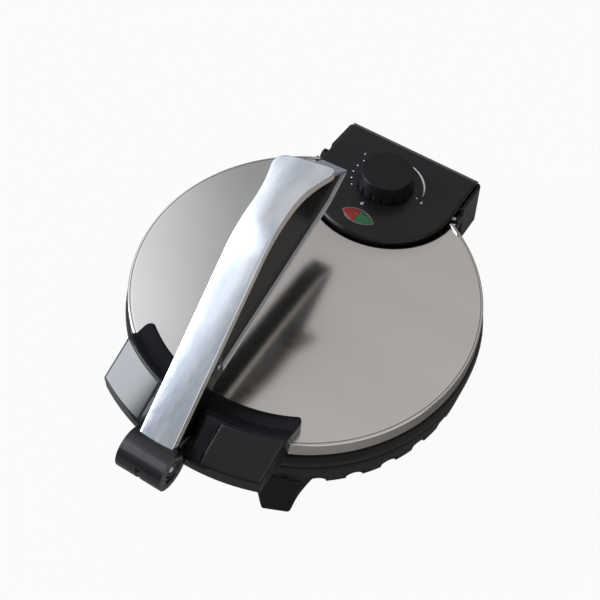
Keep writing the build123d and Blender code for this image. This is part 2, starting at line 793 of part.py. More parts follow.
def lever_lug():
    """Steel tongue: an eye around the lever's pin and a root in the handle."""
    lug = side_plate(lug_outline(0), lug_thickness / 2) + lying(lug_radius, lug_thickness / 2)
    lug -= lying(lever_pin_radius + running_gap, lug_thickness)
    return in_lever(lug)


# ---- press lever ----
def trim_line(offset):
    """Lower side line of the lever from the barrel to its rear end."""
    points = [(y, z + offset) for y, z in trim_points]
    return FilletPolyline(*points, radius=trim_bend)


def rear_strip(inner, outer):
    """Strip along the lever's rear slope between two offsets from it."""
    low, high = Vector(*trim_points[-1]), Vector(*rear_plate_top)
    along = (high - low).normalized()
    out = Vector(along.Y, -along.X)
    corners = [low + out * inner, high + out * inner, high + out * outer, low + out * outer]
    return [(corner.X, corner.Y) for corner in corners]


def core_side():
    """Side outline of the black core between the shells and the lower edge."""
    run, curve, head = slab_path(shell_thickness + lower_shell_thickness + seat_gap)
    bottom = trim_line(0)
    neck = head @ 0.8
    edges = [bottom, Line(bottom @ 1, rear_plate_top), Line(rear_plate_top, neck)]
    edges += [Line(neck, head @ 0), curve, run, Line(run @ 0, bottom @ 0)]
    return make_face(Curve() + edges)


def trim_side(grow):
    """Side outline of a trim rail along the core's lower edge."""
    low, high = trim_line(-grow), trim_line(trim_thickness + grow)
    return make_face(Curve() + [low, high, Line(low @ 0, high @ 0), Line(low @ 1, high @ 1)])


def trim_zone(grow, half):
    """Rails' side outline behind the front block, as a plate of a given half width."""
    rail = extrude(Plane.YZ * trim_side(grow), half, both=True)
    front = trim_points[1][0] - grow
    keep = Pos(0, front + rim_height, 0) * Box(4 * half, 2 * rim_height, 4 * rim_height)
    return rail & keep + Pos(0, rim_height, 0) * keep


def lever_core():
    """Barrel, front block and recessed core as one solid, before it is halved."""
    side = core_side()
    core = extrude(Plane.YZ * side, core_half, both=True)
    block = extrude(Plane.YZ * side, block_half, both=True)
    block &= Pos(0, block_end - rim_height, 0) * Box(4 * block_half, 2 * rim_height, 4 * rim_height)
    block -= trim_zone(seat_gap, block_half + 1) - trim_zone(2 * seat_gap, core_half)
    body = core + block + lying(barrel_radius, barrel_half)
    body -= lug_slot()
    body -= lying(lever_pin_radius + seat_gap, 2 * barrel_half)
    body -= lying(side_pin_radius + seat_gap, 2 * block_half, *side_pin_place)
    body -= core_pocket()
    for end in (-1, 1):
        place = end * barrel_half
        body -= lying(cap_radius + seat_gap, cap_thickness + cap_recess, 0, 0, place)
        body -= Pos(end * block_half, 0, 0) * side_plate(block_slot, slot_depth)
        body -= lying(screw_radius + seat_gap, screw_radius, *block_screw, end * block_half)
    return body


def lug_slot():
    """Room in the barrel for the lug: a round one for its eye and a sector for its tongue."""
    half = lug_thickness / 2 + joint_gap
    reach = 2 * barrel_radius
    first, last = math.radians(slot_start), math.radians(slot_start - slot_sweep)
    middle = (first + last) / 2
    bearings = (first, (first + middle) / 2, middle, (middle + last) / 2, last)
    rim = [(reach * math.cos(a), reach * math.sin(a)) for a in bearings]
    sector = side_plate([(0, 0), *rim], half) & lying(barrel_radius + 1, half)
    return lying(lug_radius + 2 * joint_gap, half) + sector


def core_pocket():
    """Hollow inside the core, open where the two halves meet."""
    inner = offset(core_side(), amount=-plastic_wall)
    pocket = extrude(Plane.YZ * inner, core_half - plastic_wall, both=True)
    behind = Pos(0, block_end + plastic_wall + rim_height, 0) * Box(
        4 * block_half, 2 * rim_height, 6 * rim_height
    )
    return pocket & behind + Pos(0, rim_height, 0) * behind


def lever_body(side):
    """One half of the black clamshell: -1 left, 1 right."""
    reach = 2 * barrel_half
    keep = Pos(side * (reach + seat_gap) / 2, 0, 0) * Box(reach, 6 * rim_height, 6 * rim_height)
    return in_lever(lever_core() & keep)


def lever_top_shell():
    """Polished top skin of the lever, wider and flatter at its head."""
    skin = slab(0, shell_thickness, slab_half, head_half, 0)
    return in_lever(skin - lying(barrel_radius + seat_gap, 2 * barrel_half))


def lever_lower_shell():
    """Paler shell under the polished skin, set in all round."""
    upper, lower = shell_thickness + seat_gap, shell_thickness + lower_shell_thickness
    shell = slab(upper, lower, slab_half - shell_reveal, head_half - shell_reveal, 0)
    return in_lever(shell - lying(barrel_radius + seat_gap, 2 * barrel_half))


def lever_trim(side):
    """Satin rail along one lower edge of the lever."""
    rail = trim_zone(0, trim_half) - trim_zone(1, core_half + seat_gap)
    rail -= side_plate(rear_strip(-seat_gap, 4 * rear_plate_thickness), trim_half + 1)
    keep = Pos(side * trim_half, 0, 0) * Box(2 * trim_half, 6 * rim_height, 6 * rim_height)
    return in_lever(rail & keep)


def lever_rear_plate():
    """Bright plate on the rear slope of the lever."""
    return in_lever(side_plate(rear_strip(seat_gap, rear_plate_thickness), trim_half))


def lever_pin():
    """Steel pin through the barrel and the lug."""
    return in_lever(lying(lever_pin_radius, barrel_half - cap_thickness - cap_recess - joint_gap))


def lever_caps():
    """Round caps let into both ends of the barrel."""
    half = (cap_thickness - seat_gap) / 2
    place = barrel_half - cap_recess - half
    return [in_lever(lying(cap_radius, half, 0, 0, end * place)) for end in (-1, 1)]


def lever_side_pin():
    """Pin across the front block, its ends standing out a little."""
    return in_lever(lying(side_pin_radius, block_half + 0.8, *side_pin_place))


def lever_screws():
    """Small screws in the two sides of the front block."""
    half = screw_radius / 2 - seat_gap
    place = block_half - screw_radius / 2
    return [in_lever(lying(screw_radius, half, *block_screw, end * place)) for end in (-1, 1)]


# ---- fasteners of the base ----
def base_screws():
    """Screws that hold the bottom cover."""
    low = cover_level - seat_gap
    screws = []
    for x, y in screw_places(cover_screw_inset, cover_screw_bearings):
        shank = upright(screw_radius, low - screw_head_height / 2, low + 2 * cover_thickness, x, y)
        screws.append(shank + upright(screw_head, low - screw_head_height, low, x, y))
    return screws


pieces = {
    "base_shell": base_shell(),
    "base_cover": base_cover(),
    "front_leg_left": leg(-leg_angle),
    "front_leg_right": leg(leg_angle),
    "rear_leg_left": leg(-rear_leg_angle),
    "rear_leg_right": leg(rear_leg_angle),
    "foot_pads": Compound([foot_pad(bearing) for bearing in leg_bearings]),
    "lower_plate": plate(-1),
    "lower_element": element(-1),
    "lower_reflector": reflector(-1),
    "plate_posts": Compound(posts(-1, cover_level + cover_thickness + seat_gap)),
    "control_housing": control_housing(),
    "control_panel": control_panel(),
    "thermostat_body": thermostat_body(),
    "red_lens": lens(-1),
    "green_lens": lens(1),
    "lens_bezel": lens_bezel(),
    "pilot_lamps": Compound(pilot_lamps()),
    "terminal_block": terminal_block(),
    "thermal_fuse": thermal_fuse(),
    "cord_gland": cord_gland(),
    "hinge_pins": Compound(hinge_pins()),
    "base_screws": Compound(base_screws()),
    "lid_cover": lid_cover(),
    "lid_frame": lid_frame(),
    "upper_plate": plate(1),
    "upper_element": element(1),
    "upper_reflector": reflector(1),
    "lid_posts": Compound(posts(1, height(steel_gauge) - 2 * seat_gap)),
    "front_handle": front_handle(),
    "grip_pad_left": grip_pad(-1),
    "grip_pad_right": grip_pad(1),
    "lever_lug": lever_lug(),
    "lid_screws": Compound(lid_screws()),
    "lever_top_shell": lever_top_shell(),
    "lever_lower_shell": lever_lower_shell(),
    "lever_body_left": lever_body(-1),
    "lever_body_right": lever_body(1),
    "lever_trim_left": lever_trim(-1),
    "lever_trim_right": lever_trim(1),
    "lever_rear_plate": lever_rear_plate(),
    "lever_pin": lever_pin(),
    "lever_side_pin": lever_side_pin(),
    "lever_caps": Compound(lever_caps()),
    "lever_screws": Compound(lever_screws()),
    "knob_shaft": knob_shaft(),
    "thermostat_knob": thermostat_knob(),
    "knob_cap": knob_cap(),
}
box = Compound(list(pieces.values())).bounding_box()
to_origin = Pos(-(box.min.X + box.max.X) / 2, -(box.min.Y + box.max.Y) / 2, 0)
os.makedirs("parts", exist_ok=True)
for name, shape in pieces.items():
    export_step(to_origin * shape, f"parts/{name}.step")
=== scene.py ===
"""Looks of an electric roti maker: steel lid, aluminium lever, black case and control panel.

Lengths in the classes are millimetres and angles are degrees, laid out from the axis of the
round lid on the table: X to the right, Y to the back, Z up. AXIS_Y carries them into the frame
of the part.
"""

import json
import logging
import math
from dataclasses import dataclass, field
from enum import Enum

import bmesh
import bpy
import numpy as np
from mathutils import Matrix, Vector


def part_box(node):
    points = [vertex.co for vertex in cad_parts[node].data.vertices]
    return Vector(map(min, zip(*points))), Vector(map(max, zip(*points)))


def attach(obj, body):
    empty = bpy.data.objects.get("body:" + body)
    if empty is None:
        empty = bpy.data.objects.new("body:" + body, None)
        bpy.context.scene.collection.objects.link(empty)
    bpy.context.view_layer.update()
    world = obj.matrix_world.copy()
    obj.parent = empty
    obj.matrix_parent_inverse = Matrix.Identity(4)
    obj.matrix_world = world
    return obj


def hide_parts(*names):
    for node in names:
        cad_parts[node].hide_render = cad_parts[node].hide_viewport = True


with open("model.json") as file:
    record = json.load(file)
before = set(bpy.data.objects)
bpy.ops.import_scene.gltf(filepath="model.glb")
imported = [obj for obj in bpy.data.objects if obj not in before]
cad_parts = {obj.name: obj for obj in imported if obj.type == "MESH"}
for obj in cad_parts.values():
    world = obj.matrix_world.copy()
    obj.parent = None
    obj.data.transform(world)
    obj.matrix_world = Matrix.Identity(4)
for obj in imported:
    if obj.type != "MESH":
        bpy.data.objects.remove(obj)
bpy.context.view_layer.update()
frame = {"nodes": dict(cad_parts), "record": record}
LOG = logging.getLogger("roti_maker")

MM = 0.001
QUARTER = math.pi / 2
WHITE = (1.0, 1.0, 1.0, 1.0)
# The dial stands this far behind the lid's axis, so its shaft tells where that axis lies.
DIAL_Y = 131.0
SHAFT_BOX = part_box("knob_shaft")
AXIS_Y = (SHAFT_BOX[0][1] + SHAFT_BOX[1][1]) / 2 / MM - DIAL_Y
# The lever's pivot lies in front of the lid's axis; the lever is turned about it, in degrees.
PIVOT_Y = -197.0
LEVER_YAW = 4.5
# Noise scales in waves per metre: a slow drift of colour, and the grain of a moulding.
SLOW_DRIFT = 18.0
MOULD_GRAIN = 2600.0
# Nearly every value of a noise lies between these two.
NOISE_SPAN = (0.3, 0.7)
# Distances in metres within which points are one, in a new mesh and in a copied CAD node.
MERGE_NEW = 1e-6
MERGE_COPY = 2e-6

Triple = tuple[float, float, float]
Colour = Triple
Span = tuple[float, float]
Socket = bpy.types.NodeSocket


class Slot(str, Enum):
    """Material slots of the record that the new pieces take their finish from."""

    CASE = "case_plastic"
    GLOSS = "gloss_plastic"
    PANEL = "panel_plastic"
    LID = "lid_steel"
    PLATE = "plate_aluminium"
    LEVER = "lever_aluminium"
    SHELL = "lever_shell"
    TRIM = "trim_metal"
    STEEL = "small_steel"
    TIN = "tinplate"
    RED = "red_lens"
    GREEN = "green_lens"
    RUBBER = "rubber"
    CREAM = "electrical"


class Body(str, Enum):
    """Bodies of the machine that move on their own."""

    BASE = "base"
    LID = "lid"
    LEVER = "lever"
    KNOB = "knob"


class Side(Enum):
    """Left or right of a middle plane, with the sign of the distance across on that side."""

    LEFT = -1
    RIGHT = 1


# ---------------------------------------------------------------- node trees
class NodeWork:
    """A node tree under construction, with short calls for the nodes used here."""

    def __init__(self, tree: bpy.types.NodeTree) -> None:
        """Empties the tree.

        Args:
            tree: the tree to work on.
        """
        self.tree = tree
        self.tree.nodes.clear()

    def node(self, kind: str, **settings: object) -> bpy.types.Node:
        """Adds a node and sets its properties.

        Args:
            kind: Blender's name of the node type.
            settings: attribute values of the node.

        Returns:
            The new node.
        """
        made = self.tree.nodes.new(kind)
        for key, value in settings.items():
            setattr(made, key, value)
        return made

    def link(self, source: Socket, target: Socket) -> None:
        """Joins an output to an input."""
        self.tree.links.new(source, target)

    def compute(self, operation: str, first: Socket, second: float = 0.0) -> Socket:
        """Arithmetic on a value and a number.

        Args:
            operation: Blender's name of the operation.
            first: output that gives the value.
            second: the number.

        Returns:
            The result.
        """
        made = self.node("ShaderNodeMath", operation=operation)
        self.link(first, made.inputs[0])
        made.inputs[1].default_value = second
        return made.outputs[0]

    def part(self, vector: Socket, axis: str) -> Socket:
        """One coordinate of a vector.

        Args:
            vector: output that gives the vector.
            axis: X, Y or Z.

        Returns:
            The coordinate.
        """
        split = self.node("ShaderNodeSeparateXYZ")
        self.link(vector, split.inputs[0])
        return split.outputs[axis]

    def carry(self, value: Socket, source: Span, target: Span, smooth: bool = True) -> Socket:
        """Carries a value from one range to another and stops at both ends.

        Args:
            value: output that gives the value.
            source: the two values that it goes between.
            target: what it becomes at those two.
            smooth: whether it eases in and out, by 3 t^2 - 2 t^3 of its even share t.

        Returns:
            The carried value.
        """
        easing = "SMOOTHSTEP" if smooth else "LINEAR"
        made = self.node("ShaderNodeMapRange", clamp=True, interpolation_type=easing)
        for key, number in zip(("From Min", "From Max", "To Min", "To Max"), (*source, *target)):
            made.inputs[key].default_value = number
        self.link(value, made.inputs["Value"])
        return made.outputs["Result"]

    def blend(self, value: Socket, source: Span, first: Colour, last: Colour) -> Socket:
        """Goes from one colour to another as a value goes between two numbers.

        Args:
            value: output that gives the value.
            source: the two values that it goes between.
            first: colour at the lower one.
            last: colour at the upper one.

        Returns:
            The colour.
        """
        ramp = self.node("ShaderNodeValToRGB")
        for element, at, colour in zip(ramp.color_ramp.elements, source, (first, last)):
            element.position = at
            element.color = (*colour, 1.0)
        self.link(value, ramp.inputs["Fac"])
        return ramp.outputs["Color"]

    def for_camera(self, lit: Socket, shown: Socket, share: float = 1.0) -> Socket:
        """Mixes two shaders, one of them for rays straight from the camera.

        Args:
            lit: shader that every other ray meets.
            shown: shader that the camera meets.
            share: how much of it the camera meets; the rest is the other one.

        Returns:
            The mixed shader.
        """
        paths = self.node("ShaderNodeLightPath")
        mix = self.node("ShaderNodeMixShader")
        self.link(self.compute("MULTIPLY", paths.outputs["Is Camera Ray"], share), mix.inputs["Fac"])
        self.link(lit, mix.inputs[1])
        self.link(shown, mix.inputs[2])
        return mix.outputs[0]


class Shader(NodeWork):
    """The node tree of a material, which ends in one principled surface."""

    def __init__(self, name: str) -> None:
        """Starts a material.

        Args:
            name: name of the material.
        """
        self.material = bpy.data.materials.new(name)
        self.material.use_nodes = True
        super().__init__(self.material.node_tree)
        self.output = self.node("ShaderNodeOutputMaterial")
        self.surface = self.node("ShaderNodeBsdfPrincipled")
        self.link(self.surface.outputs[0], self.output.inputs["Surface"])

    def fixed(self, **values: float | tuple[float, ...]) -> None:
        """Sets constants on the surface's own sockets, spaces written as underscores."""
        for key, value in values.items():
            self.surface.inputs[key.replace("_", " ")].default_value = value

    def feed(self, **sources: Socket) -> None:
        """Joins outputs to the surface's own sockets, spaces written as underscores."""
        for key, source in sources.items():
            self.link(source, self.surface.inputs[key.replace("_", " ")])

    def place(
        self, stretch: Triple = (1.0, 1.0, 1.0), turn: float = 0.0, shift: Triple = (0.0, 0.0, 0.0),
    ) -> Socket:
        """Object coordinates, scaled, then turned about Z, then shifted.

        Args:
            stretch: factors along the three axes.
            turn: degrees about Z.
            shift: what is added at the end, in metres.

        Returns:
            The vector.
        """
        where = self.node("ShaderNodeTexCoord")
        moved = self.node("ShaderNodeMapping", vector_type="POINT")
        moved.inputs["Location"].default_value = shift
        moved.inputs["Rotation"].default_value = (0.0, 0.0, math.radians(turn))
        moved.inputs["Scale"].default_value = stretch
        self.link(where.outputs["Object"], moved.inputs["Vector"])
        return moved.outputs["Vector"]

    def reach(self) -> Socket:
        """Distance from the upright axis of the lid.

        Returns:
            The distance in metres.
        """
        length = self.node("ShaderNodeVectorMath", operation="LENGTH")
        self.link(self.place((1.0, 1.0, 0.0), shift=(0.0, -AXIS_Y * MM, 0.0)), length.inputs[0])
        return length.outputs["Value"]

    def noise(self, vector: Socket, scale: float, detail: float = 2.0) -> Socket:
        """Soft noise over a place.

        Args:
            vector: output that gives the place.
            scale: waves per metre.
            detail: how many finer waves are added.

        Returns:
            The noise's value.
        """
        grain = self.node("ShaderNodeTexNoise")
        grain.inputs["Scale"].default_value = scale
        grain.inputs["Detail"].default_value = detail
        self.link(vector, grain.inputs["Vector"])
        return grain.outputs["Fac"]

    def spread(self, value: Socket, middle: float, half: float) -> Socket:
        """Carries a noise evenly to the range that reaches a half to both sides of a middle."""
        return self.carry(value, NOISE_SPAN, (middle - half, middle + half), smooth=False)

    def tint(self, value: Socket, dark: Colour, light: Colour) -> Socket:
        """Colour that a noise moves between a dark and a light one."""
        return self.blend(value, NOISE_SPAN, dark, light)

    def step(self, value: Socket, start: float, end: float) -> Socket:
        """Smooth step from 0 at the start to 1 at the end."""
        return self.carry(value, (start, end), (0.0, 1.0))

    def over(self, under: Socket, top: Colour, share: Socket) -> Socket:
        """Lays a colour over another.

        Args:
            under: output that gives the colour below.
            top: the colour laid over it.
            share: output that tells how much of it shows.

        Returns:
            The colour.
        """
        mix = self.node("ShaderNodeMix", data_type="RGBA")
        self.link(share, mix.inputs["Factor"])
        self.link(under, mix.inputs["A"])
        mix.inputs["B"].default_value = (*top, 1.0)
        return mix.outputs["Result"]

    def relief(self, *layers: tuple[Socket, float], soften: float) -> None:
        """Bumps the surface by height patterns and rounds the look of its edges.

        Args:
            layers: patterns, each with its depth in millimetres.
            soften: radius that edges seem rounded by, in millimetres; 0 for none.
        """
        normal = None
        if soften > 0:
            rounded = self.node("ShaderNodeBevel", samples=6)
            rounded.inputs["Radius"].default_value = soften * MM
            normal = rounded.outputs["Normal"]
        for value, depth in layers:
            bump = self.node("ShaderNodeBump")
            bump.inputs["Strength"].default_value = 1.0
            bump.inputs["Distance"].default_value = depth * MM
            self.link(value, bump.inputs["Height"])
            if normal is not None:
                self.link(normal, bump.inputs["Normal"])
            normal = bump.outputs["Normal"]
        self.feed(Normal=normal)


# ---------------------------------------------------------------- finishes
@dataclass(frozen=True)
class MouldedPlastic:
    """Moulded plastic with a fine spark-eroded grain.

    The colour and the roughness drift over the piece by a slow noise, and edges look rounded.
    """

    name: str
    dark: Colour
    light: Colour
    rough: float = 0.42
    rough_range: float = 0.06
    grain: float = MOULD_GRAIN
    depth: float = 0.012
    soften: float = 0.5
    shine: float = 0.25

    def build(self) -> bpy.types.Material:
        """Makes the material.

        Returns:
            The material.
        """
        shade = Shader(self.name)
        place = shade.place()
        patch = shade.noise(place, SLOW_DRIFT, detail=3.0)
        shade.feed(
            Base_Color=shade.tint(patch, self.dark, self.light),
            Roughness=shade.spread(patch, self.rough, self.rough_range),
        )
        shade.fixed(Specular_IOR_Level=self.shine)
        shade.relief((shade.noise(place, self.grain), self.depth), soften=self.soften)
        return shade.material


@dataclass(frozen=True)
class LeverPlastic:
    """Black plastic of the lever: polished at the barrel, dull behind it, with a middle seam.

    Each of gloss and dull is a roughness and a shine, and they change within the blend's length.
    """

    name: str
    dark: Colour
    light: Colour
    barrel_end: float
    blend: float = 4.0
    gloss: Span = (0.10, 0.75)
    dull: Span = (0.32, 0.09)
    depth: float = 0.002
    seam_half: float = 0.3
    seam_depth: float = 0.4

    def build(self) -> bpy.types.Material:
        """Makes the material: roughness and shine go from gloss to dull behind the barrel.

        Returns:
            The material.
        """
        shade = Shader(self.name)
        place = shade.place()
        patch = shade.noise(place, SLOW_DRIFT, detail=3.0)
        shade.feed(Base_Color=shade.tint(patch, self.dark, self.light))
        end = (self.barrel_end + AXIS_Y) * MM
        about = (end - 0.5 * self.blend * MM, end + 0.5 * self.blend * MM)
        back = shade.part(place, "Y")
        rough, shine = (shade.carry(back, about, ends) for ends in zip(self.gloss, self.dull))
        shade.feed(Roughness=rough, Specular_IOR_Level=shine)
        seam = shade.step(self.off_seam(shade), 0.5 * self.seam_half * MM, self.seam_half * MM)
        grain = shade.noise(place, MOULD_GRAIN)
        shade.relief((grain, self.depth), (seam, self.seam_depth), soften=0.0)
        return shade.material

    def off_seam(self, shade: Shader) -> Socket:
        """Distance from the lever's middle plane.

        The plane stands upright through the pivot, turned by the yaw, so a place is off it by
        x cos(yaw) + (y - pivot) sin(yaw).

        Args:
            shade: the node tree under construction.

        Returns:
            The distance in metres.
        """
        aside = -(AXIS_Y + PIVOT_Y) * MM * math.sin(math.radians(LEVER_YAW))
        turned = shade.place(turn=-LEVER_YAW, shift=(aside, 0.0, 0.0))
        return shade.compute("ABSOLUTE", shade.part(turned, "X"))


@dataclass(frozen=True)
class BevelledPanel:
    """Black panel plastic whose rear edge carries painted light: a thin brownish band that stands in for
    the lit rear bevel.
    """

    name: str
    dark: Colour
    light: Colour
    bevel: Colour
    bevel_start: float
    blend: float = 0.4
    rough: float = 0.30
    rough_range: float = 0.04
    depth: float = 0.008
    soften: float = 0.4
    shine: float = 0.3

    def build(self) -> bpy.types.Material:
        """Makes the material: the painted light band of the bevel begins at a distance behind the lid's
        axis.

        Returns:
            The material.
        """
        shade = Shader(self.name)
        place = shade.place()
        patch = shade.noise(place, SLOW_DRIFT, detail=3.0)
        start = (self.bevel_start + AXIS_Y) * MM
        # Painted light: from the start backwards the panel turns brownish, standing in for the lit rear
        # bevel.
        painted_bevel_light = shade.step(shade.part(place, "Y"), start, start + self.blend * MM)
        shade.feed(
            Base_Color=shade.over(shade.tint(patch, self.dark, self.light), self.bevel, painted_bevel_light),
            Roughness=shade.spread(patch, self.rough, self.rough_range),
        )
        shade.fixed(Specular_IOR_Level=self.shine)
        shade.relief((shade.noise(place, MOULD_GRAIN), self.depth), soften=self.soften)
        return shade.material


@dataclass(frozen=True)
class DrawnMetal:
    """Metal with fine streaks along one direction, satin or polished.

    The colour drifts by a slow noise. The roughness follows fine streaks, and a slow swell
    bends reflections a little, as hand polishing leaves it. A round groove may carry painted shade: a
    darker ring.
    """

    name: str
    dark: Colour
    light: Colour
    rough: float = 0.25
    rough_range: float = 0.06
    streak: Triple = (1.0, 1.0, 1.0)
    turn: float = 0.0
    scale: float = 900.0
    depth: float = 0.004
    patch: float = 14.0
    wave: float = 0.0
    wave_scale: float = 16.0
    soften: float = 0.3
    groove_at: float = 0.0
    groove_half: float = 0.5
    groove_floor: float = 0.2
    groove_shade: Colour = (0.20, 0.18, 0.16)
    metallic: float = 1.0

    def build(self) -> bpy.types.Material:
        """Makes the material.

        Returns:
            The material.
        """
        shade = Shader(self.name)
        place = shade.place(self.streak, self.turn)
        colour = shade.tint(shade.noise(place, self.patch, detail=3.0), self.dark, self.light)
        # Painted shade: near the groove's distance from the axis the colour turns to the groove's shade
        # colour.
        if self.groove_at > 0:
            off = shade.compute("ABSOLUTE", shade.compute("SUBTRACT", shade.reach(), self.groove_at * MM))
            inside = shade.step(off, self.groove_half * MM, self.groove_floor * MM)
            colour = shade.over(colour, self.groove_shade, inside)
        streaks = shade.noise(place, self.scale, detail=4.0)
        shade.feed(Base_Color=colour, Roughness=shade.spread(streaks, self.rough, self.rough_range))
        shade.fixed(Metallic=self.metallic)
        layers = [(streaks, self.depth)]
        if self.wave > 0:
            layers.insert(0, (shade.noise(place, self.wave_scale, detail=1.0), self.wave))
        shade.relief(*layers, soften=self.soften)
        return shade.material


@dataclass(frozen=True)
class ClearLens:
    """Coloured clear plastic with small prisms moulded into its back, and a faint painted glow by emission.
    """

    name: str
    dark: Colour
    light: Colour
    prisms: float = 800.0
    rough: float = 0.16
    shine: float = 0.3
    coat: float = 0.3
    coat_rough: float = 0.05
    glow: float = 0.12

    def build(self) -> bpy.types.Material:
        """Makes the material: the colour grows lighter away from the middle of each prism.

        Returns:
            The material.
        """
        shade = Shader(self.name)
        cells = shade.node("ShaderNodeTexVoronoi", feature="F1")
        cells.inputs["Scale"].default_value = self.prisms
        shade.link(shade.place(), cells.inputs["Vector"])
        colour = shade.tint(cells.outputs["Distance"], self.dark, self.light)
        # Painted glow: the lens gives off a little light of its own colour, though nothing lights it from
        # within.
        shade.feed(Base_Color=colour, Emission_Color=colour)
        shade.fixed(Roughness=self.rough, Specular_IOR_Level=self.shine, Emission_Strength=self.glow)
        shade.fixed(Coat_Weight=self.coat, Coat_Roughness=self.coat_rough)
        return shade.material


@dataclass(frozen=True)
class FloorPaint:
    """Warm grey floor that glows white to the camera, so that only a faint shadow shows."""

    name: str = "floor_white"
    colour: Colour = (0.27, 0.255, 0.24)
    rough: float = 0.9
    shine: float = 0.2
    glow_share: float = 0.95

    def build(self) -> bpy.types.Material:
        """Makes the material.

        Returns:
            The material.
        """
        shade = Shader(self.name)
        shade.fixed(Base_Color=(*self.colour, 1.0), Roughness=self.rough, Specular_IOR_Level=self.shine)
        glow = shade.node("ShaderNodeEmission")
        glow.inputs["Color"].default_value = WHITE
        mixed = shade.for_camera(shade.surface.outputs[0], glow.outputs[0], self.glow_share)
        shade.link(mixed, shade.output.inputs["Surface"])
        return shade.material


class Finishes:
    """Every finish of the machine, made once: by slot, by CAD node, and the printing ink."""

    def __init__(self) -> None:
        """Builds the materials."""
        by_slot: dict[Slot, MouldedPlastic | DrawnMetal | ClearLens] = {
            Slot.CASE: MouldedPlastic(
                "case_plastic", (0.0045, 0.0045, 0.0052), (0.0070, 0.0070, 0.0080), rough=0.32,
            ),
            Slot.GLOSS: MouldedPlastic(
                "gloss_plastic", (0.003, 0.003, 0.0034), (0.0045, 0.0045, 0.005), rough=0.12,
                rough_range=0.02, depth=0.001, soften=0.25, shine=0.5,
            ),
            Slot.PANEL: MouldedPlastic(
                "panel_plastic", (0.0055, 0.0055, 0.0062), (0.0075, 0.0075, 0.0085), rough=0.34,
                shine=0.2,
            ),
            # The lid's steel carries painted shade in a ring at its groove.
            Slot.LID: DrawnMetal(
                "lid_steel", (0.60, 0.58, 0.555), (0.66, 0.645, 0.62), rough=0.16, rough_range=0.03,
                streak=(0.12, 1.0, 1.0), turn=LEVER_YAW, depth=0.0005, soften=0.0,
                groove_at=SteelLid.radius - SteelLid.groove_in,
            ),
            Slot.LEVER: DrawnMetal(
                "lever_aluminium", (0.60, 0.65, 0.72), (0.92, 0.94, 0.97), rough=0.18,
                rough_range=0.05, streak=(1.0, 0.30, 0.30), turn=-LEVER_YAW, scale=420.0,
                depth=0.0005, patch=60.0, wave=0.05, wave_scale=26.0,
            ),
            Slot.SHELL: MouldedPlastic(
                "lever_shell", (0.52, 0.47, 0.40), (0.64, 0.59, 0.51), rough=0.36, rough_range=0.04,
                soften=0.4, shine=0.4,
            ),
            Slot.TRIM: DrawnMetal(
                "trim_metal", (0.70, 0.69, 0.66), (0.82, 0.81, 0.78), rough=0.34, rough_range=0.05,
                streak=(1.0, 0.15, 0.15), turn=-LEVER_YAW, soften=0.5, metallic=0.2,
            ),
            Slot.STEEL: DrawnMetal(
                "small_steel", (0.50, 0.50, 0.51), (0.64, 0.64, 0.65), rough=0.28,
            ),
            Slot.TIN: DrawnMetal(
                "tinplate", (0.46, 0.45, 0.43), (0.60, 0.59, 0.57), rough=0.32, rough_range=0.08,
            ),
            Slot.PLATE: MouldedPlastic(
                "plate_coat", (0.030, 0.030, 0.032), (0.042, 0.042, 0.045), rough=0.36,
                grain=1500.0, depth=0.01,
            ),
            Slot.RED: ClearLens("red_lens", (0.10, 0.004, 0.003), (0.20, 0.012, 0.008)),
            Slot.GREEN: ClearLens("green_lens", (0.004, 0.045, 0.014), (0.011, 0.105, 0.034)),
            Slot.RUBBER: MouldedPlastic(
                "rubber", (0.012, 0.012, 0.012), (0.020, 0.020, 0.020), rough=0.75,
            ),
            Slot.CREAM: MouldedPlastic(
                "cream_moulding", (0.50, 0.45, 0.36), (0.62, 0.57, 0.47), rough=0.5,
            ),
        }
        self.by_slot = {slot: finish.build() for slot, finish in by_slot.items()}
        lever_core = LeverPlastic(
            "lever_core_plastic", (0.0050, 0.0050, 0.0056), (0.0070, 0.0070, 0.0080),
            barrel_end=-180.0,
        ).build()
        self.by_node: dict[str, bpy.types.Material] = {
            # The panel's top carries a painted light band along its rear edge, standing in for the lit
            # bevel.
            "control_panel": BevelledPanel(
                "bevelled_panel", (0.0055, 0.0055, 0.0062), (0.0075, 0.0075, 0.0085),
                bevel=(0.075, 0.060, 0.054), bevel_start=183.4,
            ).build(),
            "front_handle": MouldedPlastic(
                "handle_plastic", (0.0085, 0.0090, 0.0105), (0.0115, 0.0120, 0.0140), rough=0.20,
                rough_range=0.03, depth=0.002, soften=0.0, shine=0.14,
            ).build(),
            "lever_body_left": lever_core,
            "lever_body_right": lever_core,
            "lever_rear_plate": MouldedPlastic(
                "rear_plate_satin", (0.20, 0.23, 0.26), (0.27, 0.30, 0.34), rough_range=0.05,
                soften=0.6, shine=0.15,
            ).build(),
            "lens_bezel": DrawnMetal(
                "bezel_metal", (0.20, 0.17, 0.16), (0.30, 0.27, 0.26), rough=0.30,
                rough_range=0.05, soften=0.2,
            ).build(),
        }
        self.ink = MouldedPlastic(
            "dial_ink", (0.66, 0.68, 0.70), (0.78, 0.80, 0.82), rough=0.5, soften=0.0,
        ).build()


# ---------------------------------------------------------------- meshes
def put_mesh(
    name: str, points: np.ndarray, faces: list[list[int]], smooth: bool = True,
) -> bpy.types.Object:
    """Makes an object from points in millimetres and faces.

    Args:
        name: name of the piece.
        points: array whose last axis is (x, y, z), laid out from the lid's axis.
        faces: faces by point number.
        smooth: whether the faces are shaded smooth.

    Returns:
        The linked object, at the origin.
    """
    mesh = bpy.data.meshes.new(name)
    placed = (points.reshape(-1, 3) + np.array([0.0, AXIS_Y, 0.0])) * MM
    mesh.from_pydata(placed.tolist(), [], faces)
    mesh.validate()
    mesh.polygons.foreach_set("use_smooth", np.full(len(mesh.polygons), smooth))
    made = bpy.data.objects.new(name, mesh)
    bpy.context.scene.collection.objects.link(made)
    return made


